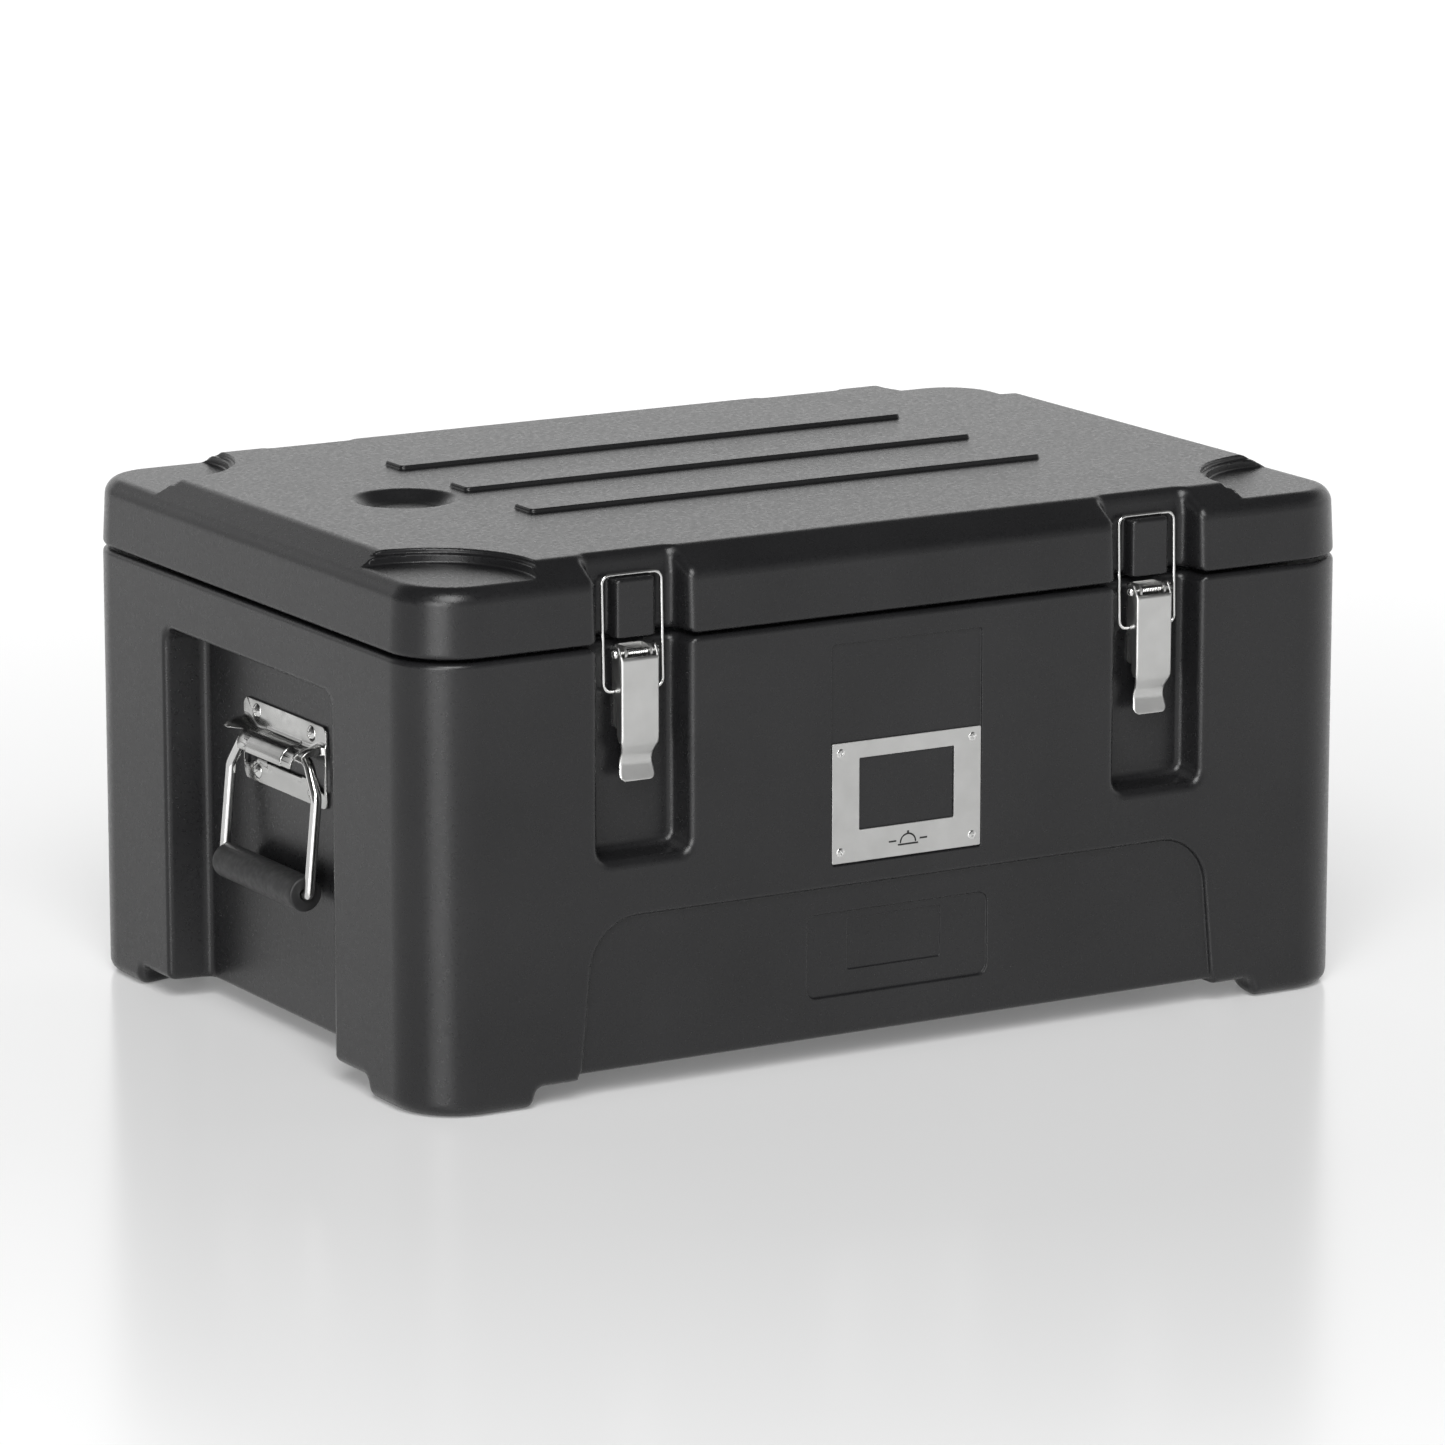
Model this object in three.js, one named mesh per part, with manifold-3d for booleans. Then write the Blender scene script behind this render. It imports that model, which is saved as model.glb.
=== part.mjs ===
// Insulated food carrier: a double-walled, foam-filled box for one deep gastronorm pan.
// The lid lifts right off; four toggle latches pull it down on a soft seal, and a drop handle
// folds into a recess at each end.
//
// Millimetres, +Z up, +X along the long front. The origin is on the floor, under the middle.
// The front, with the menu plate, faces -Y.
import * as THREE from 'three';
import { mergeVertices } from 'three/addons/utils/BufferGeometryUtils.js';
import Module from 'manifold-3d';

const wasm = await Module();
wasm.setup();

// ---- overall box ----
const LENGTH = 640;
const WIDTH = 440;
const PLATEAU_Z = 315; // top of the lid, not counting its ribs
const CORNER_R = 40;
const SKIN = 3; // moulded plastic wall
const CLEARANCE = 0.3; // between pieces that touch
const SEAM_Z = 265.5;
const SEAM_GAP = 2;
const BODY_TOP_Z = SEAM_Z - SEAM_GAP / 2;
const LID_BOTTOM_Z = SEAM_Z + SEAM_GAP / 2;
const PAST = 12; // how far a cutting shape runs past the surface it cuts

// ---- feet: quarter discs that drop into the lid corners of the carrier below ----
const UNDERSIDE_Z = 12;
const MID_UNDERSIDE_Z = 15; // between the two ends
const FOOT_R = 72;
const FOOT_ROUNDING = 7;

// ---- inside: one full-size pan hangs on a ledge ----
const WELL = { length: 505, width: 303, r: 30, floor: 45 };
const LEDGE = { length: 536, width: 331, r: 16, floor: 250 };

// ---- lid ----
const SHOULDER_Z = 303;
const CHAMFER = 20;
const STACK_RECESS = { x: 302, y: 194, r: 65, floor: 307 };
const CUP = { x: -210, y: 6, rimR: 31, floorR: 23, depth: 6.5 };
const RIB = { length: 354, width: 22.5, height: 2.5, x: 8, r: 3, y: [98, 16, -63.5] };
const LID_PLUG = { length: 529, width: 324, r: 12, bottom: 253 };
const SEAL = { length: 580, width: 376, r: 26, band: 8, bottom: BODY_TOP_Z + CLEARANCE, top: 269.7 };
const FILL_HOLE_R = 10;

// ---- front and rear faces ----
const ARCH = { halfFoot: 219, halfTop: 209, top: 105.5, r: 28, depth: 3.7 };
const BADGE = { x: -3.5, width: 124, bottom: 39.5, top: 89.5, r: 6, depth: 1 };
const CARD_PANEL = { width: 103, bottom: 118.5, top: 250, r: 2, depth: 1.5 };
const MENU = { width: 102, bottom: 119.5, top: 191.3, thick: 1 };
const MENU_WINDOW = { width: 64, bottom: 139, top: 181 };
const MENU_SCREW = { x: 45.2, z: [126, 185.2] };

// ---- latches ----
const LATCH_X = 176;
const LATCH_RECESS = { width: 59, bottom: 138, r: 8, floor: 200 };
const STRIKE = { width: 26, top: 301, reach: 210, root: 197, r: 3 };
const LATCH_PIN = { out: 8.5, z: 257.5, r: 1.5, half: 13.2, headR: 3, head: 2.6 };
const LATCH_BASE = { width: 20, bottom: 212, top: 262, thick: 1.5, r: 3 };
const LATCH_EAR = { inner: 7.6, thick: 1.5, r: 4.3 };
const SPRING = { inner: 1.8, outer: 2.6, half: 7.2 };
const LEVER = { width: 25.4, thick: 1.5, face: 15, top: 252.5, knee: 206.3, tabWidth: 23.4, tip: 183, tipR: 4 };
const LATCH_BAIL = { half: 19.6, r: 1.1, bend: 5, barOut: 4, barZ: 302.5, pivotOut: 6, pivotZ: 235.3, end: 10 };
const RIVET_Z = [219, 246];

// ---- handles ----
const HANDLE_RECESS = { half: 106, top: 230.5, r: 10, floor: 293 };
const HANDLE_PLATE = { half: 53, bottom: 147, top: 196.5, r: 5, thick: 1.5 };
const HANDLE_SCREW = { y: 35, z: [154, 190], headR: 5, head: 2.2 };
const HOOD = { half: 34, r: 8, bore: 3.7 };
const HANDLE_PIVOT = { out: 7.5, z: 175 };
const HANDLE_BAIL = { r: 3.25, bend: 9, gripBend: 3.6, neck: 41, half: 55, shoulderZ: 156, gap: 0.5 };
const GRIP = { r: 10.5, bore: 3.6, half: 51, out: 15, z: 98 };

const BLACK_PLASTIC = { color: 0x2e2e30, roughness: 0.55, metalness: 0 };
const FOAM = { color: 0xd9c98f, roughness: 0.95, metalness: 0 };
const SILICONE = { color: 0x55575a, roughness: 0.6, metalness: 0 };
const BRUSHED_STEEL = { color: 0xc9c9cb, roughness: 0.35, metalness: 1 };
const BRIGHT_STEEL = { color: 0xdcdcde, roughness: 0.15, metalness: 1 };
const GRIP_RUBBER = { color: 0x262627, roughness: 0.7, metalness: 0 };

// ---- solids from geometry, and back ----

function solid(geometry) {
  const bare = geometry.clone();
  bare.deleteAttribute('normal');
  bare.deleteAttribute('uv');
  const merged = mergeVertices(bare, 1e-4);
  const triangles = [];
  for (let i = 0; i < merged.index.count; i += 3) {
    const [a, b, c] = [0, 1, 2].map((k) => merged.index.getX(i + k));
    if (a !== b && b !== c && c !== a) triangles.push(a, b, c);
  }
  return new wasm.Manifold(new wasm.Mesh({
    numProp: 3,
    vertProperties: new Float32Array(merged.attributes.position.array),
    triVerts: new Uint32Array(triangles),
  }));
}

function geometryOf(manifold) {
  const mesh = manifold.getMesh();
  const geometry = new THREE.BufferGeometry();
  geometry.setAttribute('position', new THREE.BufferAttribute(mesh.vertProperties, 3));
  geometry.setIndex(new THREE.BufferAttribute(mesh.triVerts, 1));
  geometry.computeVertexNormals();
  return geometry;
}

const joined = (solids) => solids.reduce((all, next) => all.add(next));
const cut = (from, solids) => solids.reduce((rest, next) => rest.subtract(next), from);

// ---- outlines and prisms ----

function arc(cx, cy, r, fromDeg, toDeg, steps) {
  return Array.from({ length: steps + 1 }, (_, i) => {
    const a = THREE.MathUtils.degToRad(fromDeg + ((toDeg - fromDeg) * i) / steps);
    return new THREE.Vector2(cx + r * Math.cos(a), cy + r * Math.sin(a));
  });
}

function roundedRect(width, height, r, cx = 0, cy = 0, steps = r > 20 ? 6 : 3) {
  const x = width / 2 - r;
  const y = height / 2 - r;
  return new THREE.Shape([
    ...arc(cx + x, cy + y, r, 0, 90, steps),
    ...arc(cx - x, cy + y, r, 90, 180, steps),
    ...arc(cx - x, cy - y, r, 180, 270, steps),
    ...arc(cx + x, cy - y, r, 270, 360, steps),
  ]);
}

const extruded = (shape, depth) => new THREE.ExtrudeGeometry(shape, { depth, bevelEnabled: false });

// A prism standing on the floor plane, from z0 up to z1.
function prismZ(shape, z0, z1) {
  return solid(extruded(shape, z1 - z0).translate(0, 0, z0));
}

// A prism whose outline is drawn in X and Z, from y0 to y1.
function prismY(shape, y0, y1) {
  return solid(extruded(shape, y1 - y0).rotateX(Math.PI / 2).translate(0, y1, 0));
}

// A prism whose outline is drawn in Y and Z, from x0 to x1.
function prismX(shape, x0, x1) {
  const turn = new THREE.Matrix4().makeBasis(
    new THREE.Vector3(0, 1, 0), new THREE.Vector3(0, 0, 1), new THREE.Vector3(1, 0, 0));
  return solid(extruded(shape, x1 - x0).applyMatrix4(turn).translate(x0, 0, 0));
}

// A rounded slab about the middle, shrunk on every side by inset.
function slab(length, width, r, z0, z1, inset) {
  const corner = Math.max(r - inset, 1);
  return prismZ(roundedRect(length - 2 * inset, width - 2 * inset, corner), z0 + inset, z1 - inset);
}

// A straight round bar or ring along an axis, centred at (x, y, z).
function bar(axis, r, length, x, y, z, sides = 12) {
  const geometry = new THREE.CylinderGeometry(r, r, length, sides);
  if (axis === 'x') geometry.rotateZ(Math.PI / 2);
  if (axis === 'z') geometry.rotateX(Math.PI / 2);
  return solid(geometry.translate(x, y, z));
}

const CORNERS = { front_left: [-1, -1], front_right: [1, -1], rear_left: [-1, 1], rear_right: [1, 1] };

// The same cut in the front and the rear face, from depth |y| outwards.
function onFrontAndRear(shape, depth) {
  const past = WIDTH / 2 + PAST;
  return [prismY(shape, -past, -depth), prismY(shape, depth, past)];
}

// ---- bent wire ----

// A wire through a run of points, bent to a radius at each corner.
class BentWire extends THREE.Curve {
  constructor(corners, bends, stepsPerBend = 4) {
    super();
    this.stations = [corners[0]];
    for (let i = 1; i < corners.length - 1; i += 1) {
      this.addBend(corners[i - 1], corners[i], corners[i + 1], bends[i], stepsPerBend);
    }
    this.stations.push(corners[corners.length - 1]);
    this.steps = this.stations.length - 1;
  }

  addBend(before, corner, after, bend, steps) {
    const back = before.clone().sub(corner).normalize();
    const on = after.clone().sub(corner).normalize();
    const half = Math.acos(THREE.MathUtils.clamp(back.dot(on), -1, 1)) / 2;
    const centre = back.clone().add(on).normalize().multiplyScalar(bend / Math.sin(half)).add(corner);
    const first = back.multiplyScalar(bend / Math.tan(half)).add(corner).sub(centre);
    const last = on.multiplyScalar(bend / Math.tan(half)).add(corner).sub(centre);
    const axis = first.clone().cross(last).normalize();
    const sweep = first.angleTo(last);
    for (let i = 0; i <= steps; i += 1) {
      this.stations.push(first.clone().applyAxisAngle(axis, (sweep * i) / steps).add(centre));
    }
  }

  getPoint(t, target = new THREE.Vector3()) {
    return target.copy(this.stations[Math.round(t * this.steps)]);
  }

  getPointAt(u, target) {
    return this.getPoint(u, target);
  }

  getTangentAt(u, target = new THREE.Vector3()) {
    const i = Math.round(u * this.steps);
    const before = this.stations[Math.max(i - 1, 0)];
    const after = this.stations[Math.min(i + 1, this.steps)];
    const here = this.stations[i];
    const into = here.clone().sub(before).normalize();
    const out = after.clone().sub(here).normalize();
    return target.copy(into.add(out)).normalize();
  }
}

// A corner is [x, y, z], or [x, y, z, bend] where it is bent tighter than the rest.
function wire(corners, r, bend, sides = 8) {
  const points = corners.map(([x, y, z]) => new THREE.Vector3(x, y, z));
  const path = new BentWire(points, corners.map((corner) => corner[3] ?? bend));
  const section = new THREE.Shape(arc(0, 0, r, 0, 360 - 360 / sides, sides - 1));
  return solid(new THREE.ExtrudeGeometry(section, { steps: path.steps, extrudePath: path }));
}

// ---- where the latches and handles stand ----

function place(x, y, turn) {
  return new THREE.Matrix4().makeRotationZ(turn).setPosition(x, y, 0);
}

// A latch is drawn for the front: its own Y = 0 is the recess floor and -Y is outwards.
const LATCH_PLACES = {
  front_left: place(-LATCH_X, -LATCH_RECESS.floor, 0),
  front_right: place(LATCH_X, -LATCH_RECESS.floor, 0),
  rear_left: place(-LATCH_X, LATCH_RECESS.floor, Math.PI),
  rear_right: place(LATCH_X, LATCH_RECESS.floor, Math.PI),
};

// A handle is drawn for the left end: its own X = 0 is the recess floor and -X is outwards.
const HANDLE_PLACES = {
  left: place(-HANDLE_RECESS.floor, 0, 0),
  right: place(HANDLE_RECESS.floor, 0, Math.PI),
};

const placed = (manifold, matrix) => solid(geometryOf(manifold).applyMatrix4(matrix));
const atEach = (places, manifold) => Object.values(places).map((matrix) => placed(manifold, matrix));

// ---- fasteners: a domed head outside, a shank that ends in the plastic skin ----

// Drawn along -Y, with the seat of the head at y = 0.
function fastener(shankR, shankLength, headR, headHeight, seatY, x, z) {
  const profile = [
    new THREE.Vector2(0, -shankLength),
    new THREE.Vector2(shankR, -shankLength),
    new THREE.Vector2(shankR, 0),
    new THREE.Vector2(headR, 0),
    new THREE.Vector2(headR * 0.8, headHeight * 0.7),
    new THREE.Vector2(0, headHeight),
  ];
  const geometry = new THREE.LatheGeometry(profile, 10).rotateX(Math.PI);
  return solid(geometry.translate(x, seatY, z));
}

const SHANK_R = 1.7;
const SHANK_HOLE_R = SHANK_R + CLEARANCE;
const shankHole = (y0, y1, x, z) => bar('y', SHANK_HOLE_R, y1 - y0, x, (y0 + y1) / 2, z, 8);

function latchRivet(z) {
  const seat = -(LATCH_BASE.thick + 2 * CLEARANCE);
  return fastener(SHANK_R, SKIN - 0.5 - seat, 3.4, 1.2, seat, 0, z);
}

function latchRivetHoles() {
  return joined(RIVET_Z.map((z) => shankHole(-1, SKIN + 1, 0, z)));
}

const HANDLE_SCREW_SPOTS = [-1, 1].flatMap((side) => HANDLE_SCREW.z.map((z) => [side * HANDLE_SCREW.y, z]));
const QUARTER_TURN = new THREE.Matrix4().makeRotationZ(-Math.PI / 2);

function handleScrew([y, z]) {
  const seat = -(HANDLE_PLATE.thick + 2 * CLEARANCE);
  return placed(fastener(SHANK_R, SKIN - 0.5 - seat, HANDLE_SCREW.headR, HANDLE_SCREW.head, seat, -y, z), QUARTER_TURN);
}

function handleScrewHoles() {
  const holes = HANDLE_SCREW_SPOTS.map(([y, z]) => shankHole(-3, SKIN + 1, -y, z));
  return placed(joined(holes), QUARTER_TURN);
}

const MENU_FLOOR_Y = -(WIDTH / 2 - CARD_PANEL.depth);
const MENU_SCREW_SPOTS = [-1, 1].flatMap((side) => MENU_SCREW.z.map((z) => [side * MENU_SCREW.x, z]));

function menuScrew([x, z]) {
  const seat = MENU_FLOOR_Y - MENU.thick - 2 * CLEARANCE;
  return fastener(SHANK_R, 2 + MENU.thick, 2.9, 0.9, seat, x, z);
}

function menuScrewHoles() {
  return joined(MENU_SCREW_SPOTS.map(([x, z]) => shankHole(MENU_FLOOR_Y - 3, MENU_FLOOR_Y + 5, x, z)));
}

// ---- body ----

// The feet are moulded in one with the body. They are drawn as blocks of their own, under the skin.
function foot(sideX, sideY) {
  const height = UNDERSIDE_Z - CLEARANCE;
  const disc = bar('z', FOOT_R, height, sideX * LENGTH / 2, sideY * WIDTH / 2, height / 2, 40);
  const tread = new THREE.ExtrudeGeometry(roundedRect(LENGTH, WIDTH, CORNER_R), {
    depth: 2 * UNDERSIDE_Z, bevelThickness: FOOT_ROUNDING, bevelSize: FOOT_ROUNDING,
    bevelOffset: -FOOT_ROUNDING, bevelSegments: 2,
  });
  return disc.intersect(solid(tread.translate(0, 0, FOOT_ROUNDING)));
}

function handleRecesses(inset) {
  const top = HANDLE_RECESS.top + inset;
  const bottom = -2 * PAST;
  const shape = roundedRect(
    2 * (HANDLE_RECESS.half + inset), top - bottom, HANDLE_RECESS.r + inset, 0, (top + bottom) / 2);
  const floor = HANDLE_RECESS.floor - inset;
  const past = LENGTH / 2 + PAST;
  return [prismX(shape, -past, -floor), prismX(shape, floor, past)];
}

function latchRecesses(bottom, inset) {
  const low = bottom - inset;
  const high = PLATEAU_Z + 4 * PAST;
  return [-LATCH_X, LATCH_X].flatMap((x) => {
    const shape = roundedRect(
      LATCH_RECESS.width + 2 * inset, high - low, LATCH_RECESS.r + inset, x, (low + high) / 2);
    return onFrontAndRear(shape, LATCH_RECESS.floor - inset);
  });
}

function archPanels(inset) {
  const r = ARCH.r + inset;
  const x = ARCH.halfTop + inset - r;
  const z = ARCH.top + inset - r;
  const shape = new THREE.Shape([
    new THREE.Vector2(-ARCH.halfFoot - inset, -PAST),
    new THREE.Vector2(ARCH.halfFoot + inset, -PAST),
    ...arc(x, z, r, 3, 90, 5),
    ...arc(-x, z, r, 90, 177, 5),
  ]);
  return onFrontAndRear(shape, WIDTH / 2 - ARCH.depth - inset);
}

function bodyForm(inset) {
  const block = slab(LENGTH, WIDTH, CORNER_R, UNDERSIDE_Z, BODY_TOP_Z, inset);
  return cut(block, [
    slab(WELL.length, WELL.width, WELL.r, WELL.floor, BODY_TOP_Z + PAST, -inset),
    slab(LEDGE.length, LEDGE.width, LEDGE.r, LEDGE.floor, BODY_TOP_Z + PAST, -inset),
    ...handleRecesses(inset),
    ...latchRecesses(LATCH_RECESS.bottom, inset),
    ...archPanels(inset),
    prismZ(roundedRect(2 * (ARCH.halfFoot + inset), 2 * WIDTH, 1), -PAST, MID_UNDERSIDE_Z + inset),
  ]);
}

function bodyShell() {
  const badge = roundedRect(
    BADGE.width, BADGE.top - BADGE.bottom, BADGE.r, BADGE.x, (BADGE.top + BADGE.bottom) / 2);
  const card = roundedRect(
    CARD_PANEL.width, CARD_PANEL.top - CARD_PANEL.bottom, CARD_PANEL.r, 0, (CARD_PANEL.top + CARD_PANEL.bottom) / 2);
  const badgeFloor = WIDTH / 2 - ARCH.depth - BADGE.depth;
  return cut(bodyForm(0), [
    bodyForm(SKIN),
    bar('z', FILL_HOLE_R, 3 * SKIN, 0, 0, MID_UNDERSIDE_Z, 20),
    prismY(badge, -WIDTH / 2 - PAST, -badgeFloor),
    prismY(card, -WIDTH / 2 - PAST, MENU_FLOOR_Y),
    ...atEach(LATCH_PLACES, latchRivetHoles()),
    ...atEach(HANDLE_PLACES, handleScrewHoles()),
    menuScrewHoles(),
  ]);
}

function fillPlug(z) {
  return bar('z', FILL_HOLE_R - CLEARANCE, SKIN, 0, 0, z + SKIN / 2, 20);
}

// ---- lid ----

function sealRing(grow, z0, z1) {
  const outer = slab(SEAL.length, SEAL.width, SEAL.r, z0 + grow, z1 - grow, -grow);
  const inner = slab(
    SEAL.length - 2 * SEAL.band, SEAL.width - 2 * SEAL.band, SEAL.r - SEAL.band,
    z0 - PAST + grow, z1 + PAST - grow, grow);
  return outer.subtract(inner);
}

function lidBlock(inset) {
  const rise = PLATEAU_Z - SHOULDER_Z;
  const low = LID_BOTTOM_Z + inset;
  const depth = SHOULDER_Z - inset - low;
  const outline = roundedRect(LENGTH - 2 * inset, WIDTH - 2 * inset, CORNER_R - inset, 0, 0, 6);
  const geometry = new THREE.ExtrudeGeometry(outline, {
    depth, bevelThickness: rise, bevelSize: CHAMFER, bevelOffset: -CHAMFER, bevelSegments: 1,
  });
  const below = prismZ(roundedRect(2 * LENGTH, 2 * WIDTH, 1), low - 2 * rise, low);
  return solid(geometry.translate(0, 0, low)).subtract(below);
}

function cup(inset) {
  const slope = (CUP.rimR - CUP.floorR) / CUP.depth;
  const floorZ = PLATEAU_Z - CUP.depth - inset;
  const height = CUP.depth + inset + 2;
  const floorR = CUP.floorR + inset * 0.6;
  const geometry = new THREE.CylinderGeometry(floorR + slope * height, floorR, height, 32);
  return solid(geometry.rotateX(Math.PI / 2).translate(CUP.x, CUP.y, floorZ + height / 2));
}

function stackRecess(sideX, sideY, inset) {
  const low = STACK_RECESS.floor - inset;
  const height = PLATEAU_Z + PAST - low;
  const [x, y] = [sideX * STACK_RECESS.x, sideY * STACK_RECESS.y];
  return bar('z', STACK_RECESS.r + inset, height, x, y, low + height / 2, 48);
}

function lidForm(inset) {
  const plug = slab(
    LID_PLUG.length, LID_PLUG.width, LID_PLUG.r, LID_PLUG.bottom, LID_BOTTOM_Z + PAST, inset);
  return cut(joined([lidBlock(inset), plug]), [
    ...Object.values(CORNERS).map(([x, y]) => stackRecess(x, y, inset)),
    ...latchRecesses(LID_BOTTOM_Z - PAST, inset),
    cup(inset),
    sealRing(CLEARANCE + inset, LID_BOTTOM_Z - PAST, SEAL.top + CLEARANCE + inset),
  ]);
}

function strikeBlock(x, side) {
  const depth = STRIKE.reach - STRIKE.root;
  const y = side * (STRIKE.root + depth / 2);
  return prismZ(roundedRect(STRIKE.width, depth, STRIKE.r, x, y), LID_BOTTOM_Z, STRIKE.top);
}

function lidShell() {
  const ribs = RIB.y.map((y) => prismZ(
    roundedRect(RIB.length, RIB.width, RIB.r, RIB.x, y), PLATEAU_Z - 1, PLATEAU_Z + RIB.height));
  const strikes = [-LATCH_X, LATCH_X].flatMap((x) => [strikeBlock(x, -1), strikeBlock(x, 1)]);
  const fillHole = bar('z', FILL_HOLE_R, 3 * SKIN, 0, 0, LID_PLUG.bottom, 20);
  return joined([cut(lidForm(0), [lidForm(SKIN), fillHole]), ...ribs, ...strikes]);
}

// ---- latch pieces, drawn for the front with the recess floor at Y = 0 ----

function latchBase() {
  const { width, bottom, top, thick, r } = LATCH_BASE;
  const back = -CLEARANCE;
  const plate = prismY(roundedRect(width, top - bottom, r, 0, (top + bottom) / 2), back - thick, back);
  const ear = new THREE.Shape([
    new THREE.Vector2(back - thick / 2, LATCH_PIN.z + LATCH_EAR.r),
    new THREE.Vector2(back - thick / 2, LATCH_PIN.z - 2 * LATCH_EAR.r),
    ...arc(-LATCH_PIN.out, LATCH_PIN.z, LATCH_EAR.r, 230, 90, 5),
  ].reverse());
  const ears = [LATCH_EAR.inner, -LATCH_EAR.inner - LATCH_EAR.thick].map(
    (x) => prismX(ear, x, x + LATCH_EAR.thick));
  return cut(joined([plate, ...ears]), [
    bar('x', LATCH_PIN.r + CLEARANCE, 2 * width, 0, -LATCH_PIN.out, LATCH_PIN.z),
    ...RIVET_Z.map((z) => shankHole(back - 2 * thick, 1, 0, z)),
  ]);
}

function latchPin() {
  const { half, r, headR, head } = LATCH_PIN;
  const end = half + head;
  const profile = [
    new THREE.Vector2(0, -end), new THREE.Vector2(headR * 0.7, -end + head * 0.3),
    new THREE.Vector2(headR, -half - head * 0.3), new THREE.Vector2(headR, -half), new THREE.Vector2(r, -half),
    new THREE.Vector2(r, half), new THREE.Vector2(headR, half), new THREE.Vector2(headR, half + head * 0.3),
    new THREE.Vector2(headR * 0.7, end - head * 0.3), new THREE.Vector2(0, end),
  ];
  const geometry = new THREE.LatheGeometry(profile, 12).rotateZ(Math.PI / 2);
  return solid(geometry.translate(0, -LATCH_PIN.out, LATCH_PIN.z));
}

function latchSpring() {
  const along = [0, -LATCH_PIN.out, LATCH_PIN.z];
  return bar('x', SPRING.outer, 2 * SPRING.half, ...along, 16)
    .subtract(bar('x', SPRING.inner, 3 * SPRING.half, ...along, 16));
}

// The lever's face in side view: flat, then an inward step, then a finger tab that turns out again.
function leverStrip() {
  const { face, top, knee, tip, thick } = LEVER;
  const front = [[face, top], [face, knee], [face - 5.2, knee - 9], [face - 5.6, knee - 12], [face - 3.4, tip]];
  const back = front.map(([out, z], i) => [out - thick, z + (i === 1 ? -0.6 : 0)]).reverse();
  return new THREE.Shape([...front, ...back].map(([out, z]) => new THREE.Vector2(-out, z)));
}

function lever() {
  const { width, thick, face, top, knee, tabWidth, tip, tipR } = LEVER;
  const { out, z } = LATCH_PIN;
  const flangeOutline = new THREE.Shape([
    new THREE.Vector2(-face + 0.2, top),
    new THREE.Vector2(-face + 0.2, knee),
    new THREE.Vector2(-face + 4, knee),
    new THREE.Vector2(-face + 6, knee + 4),
    new THREE.Vector2(-face + 6, knee + 22),
    ...arc(-LATCH_BAIL.pivotOut, LATCH_BAIL.pivotZ, 3, 270, 390, 4),
    ...arc(-out, z, LATCH_EAR.r, 0, 120, 4),
  ]);
  const flanges = [width / 2 - thick, -width / 2].map((x) => prismX(flangeOutline, x, x + thick));
  const strip = prismX(leverStrip(), -width / 2, width / 2);
  const tabOutline = roundedRect(tabWidth, top - tip + 60, tipR, 0, tip + (top - tip + 60) / 2);
  const wideOutline = roundedRect(width, top - knee + 40, 1, 0, knee + (top - knee + 40) / 2);
  const bounds = joined([prismY(tabOutline, -face - 5, 5), prismY(wideOutline, -face - 5, 5)]);
  return cut(joined([strip.intersect(bounds), ...flanges]), [
    bar('x', LATCH_PIN.r + CLEARANCE, 2 * width, 0, -out, z),
    bar('x', LATCH_BAIL.r + CLEARANCE, 2 * width, 0, -LATCH_BAIL.pivotOut, LATCH_BAIL.pivotZ),
  ]);
}

function latchBail() {
  const { half, r, bend, barOut, barZ, pivotOut, pivotZ, end } = LATCH_BAIL;
  return wire([
    [-end, -pivotOut, pivotZ], [-half, -pivotOut, pivotZ], [-half, -barOut, barZ],
    [half, -barOut, barZ], [half, -pivotOut, pivotZ], [end, -pivotOut, pivotZ],
  ], r, bend);
}

// ---- handle pieces, drawn for the left end with the recess floor at X = 0 ----

function handlePlate() {
  const { half, bottom, top, r, thick } = HANDLE_PLATE;
  const { out, z } = HANDLE_PIVOT;
  const back = -CLEARANCE;
  const outline = roundedRect(2 * half, top - bottom, r, 0, (top + bottom) / 2);
  const plate = prismX(outline, back - thick, back);
  const hood = new THREE.Shape([
    new THREE.Vector2(back, z - HOOD.r - 3),
    new THREE.Vector2(back, z + HOOD.r + 3),
    ...arc(-out, z, HOOD.r, 110, 250, 6),
  ].reverse());
  const barrel = prismY(hood, -HOOD.half, HOOD.half);
  const holes = HANDLE_SCREW_SPOTS.map(([y, sz]) => bar('x', SHANK_HOLE_R, 8 * thick, 0, y, sz, 8));
  return cut(joined([plate, barrel]), [bar('y', HOOD.bore, 4 * half, -out, 0, z, 16), ...holes]);
}

function handleBail() {
  const { r, bend, gripBend, neck, half, shoulderZ, gap } = HANDLE_BAIL;
  const [top, low] = [-HANDLE_PIVOT.out, -GRIP.out];
  const shoulderX = top + ((low - top) * (HANDLE_PIVOT.z - shoulderZ)) / (HANDLE_PIVOT.z - GRIP.z);
  const leg = (side) => [
    [top, side * neck, HANDLE_PIVOT.z], [shoulderX, side * half, shoulderZ], [low, side * half, GRIP.z, gripBend],
  ];
  return wire([
    [top, gap, HANDLE_PIVOT.z], ...leg(1), ...leg(-1).reverse(), [top, -gap, HANDLE_PIVOT.z],
  ], r, bend);
}

function handleGrip() {
  const along = [-GRIP.out, 0, GRIP.z];
  return bar('y', GRIP.r, 2 * GRIP.half, ...along, 20).subtract(bar('y', GRIP.bore, 3 * GRIP.half, ...along, 12));
}

// ---- menu plate ----

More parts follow.
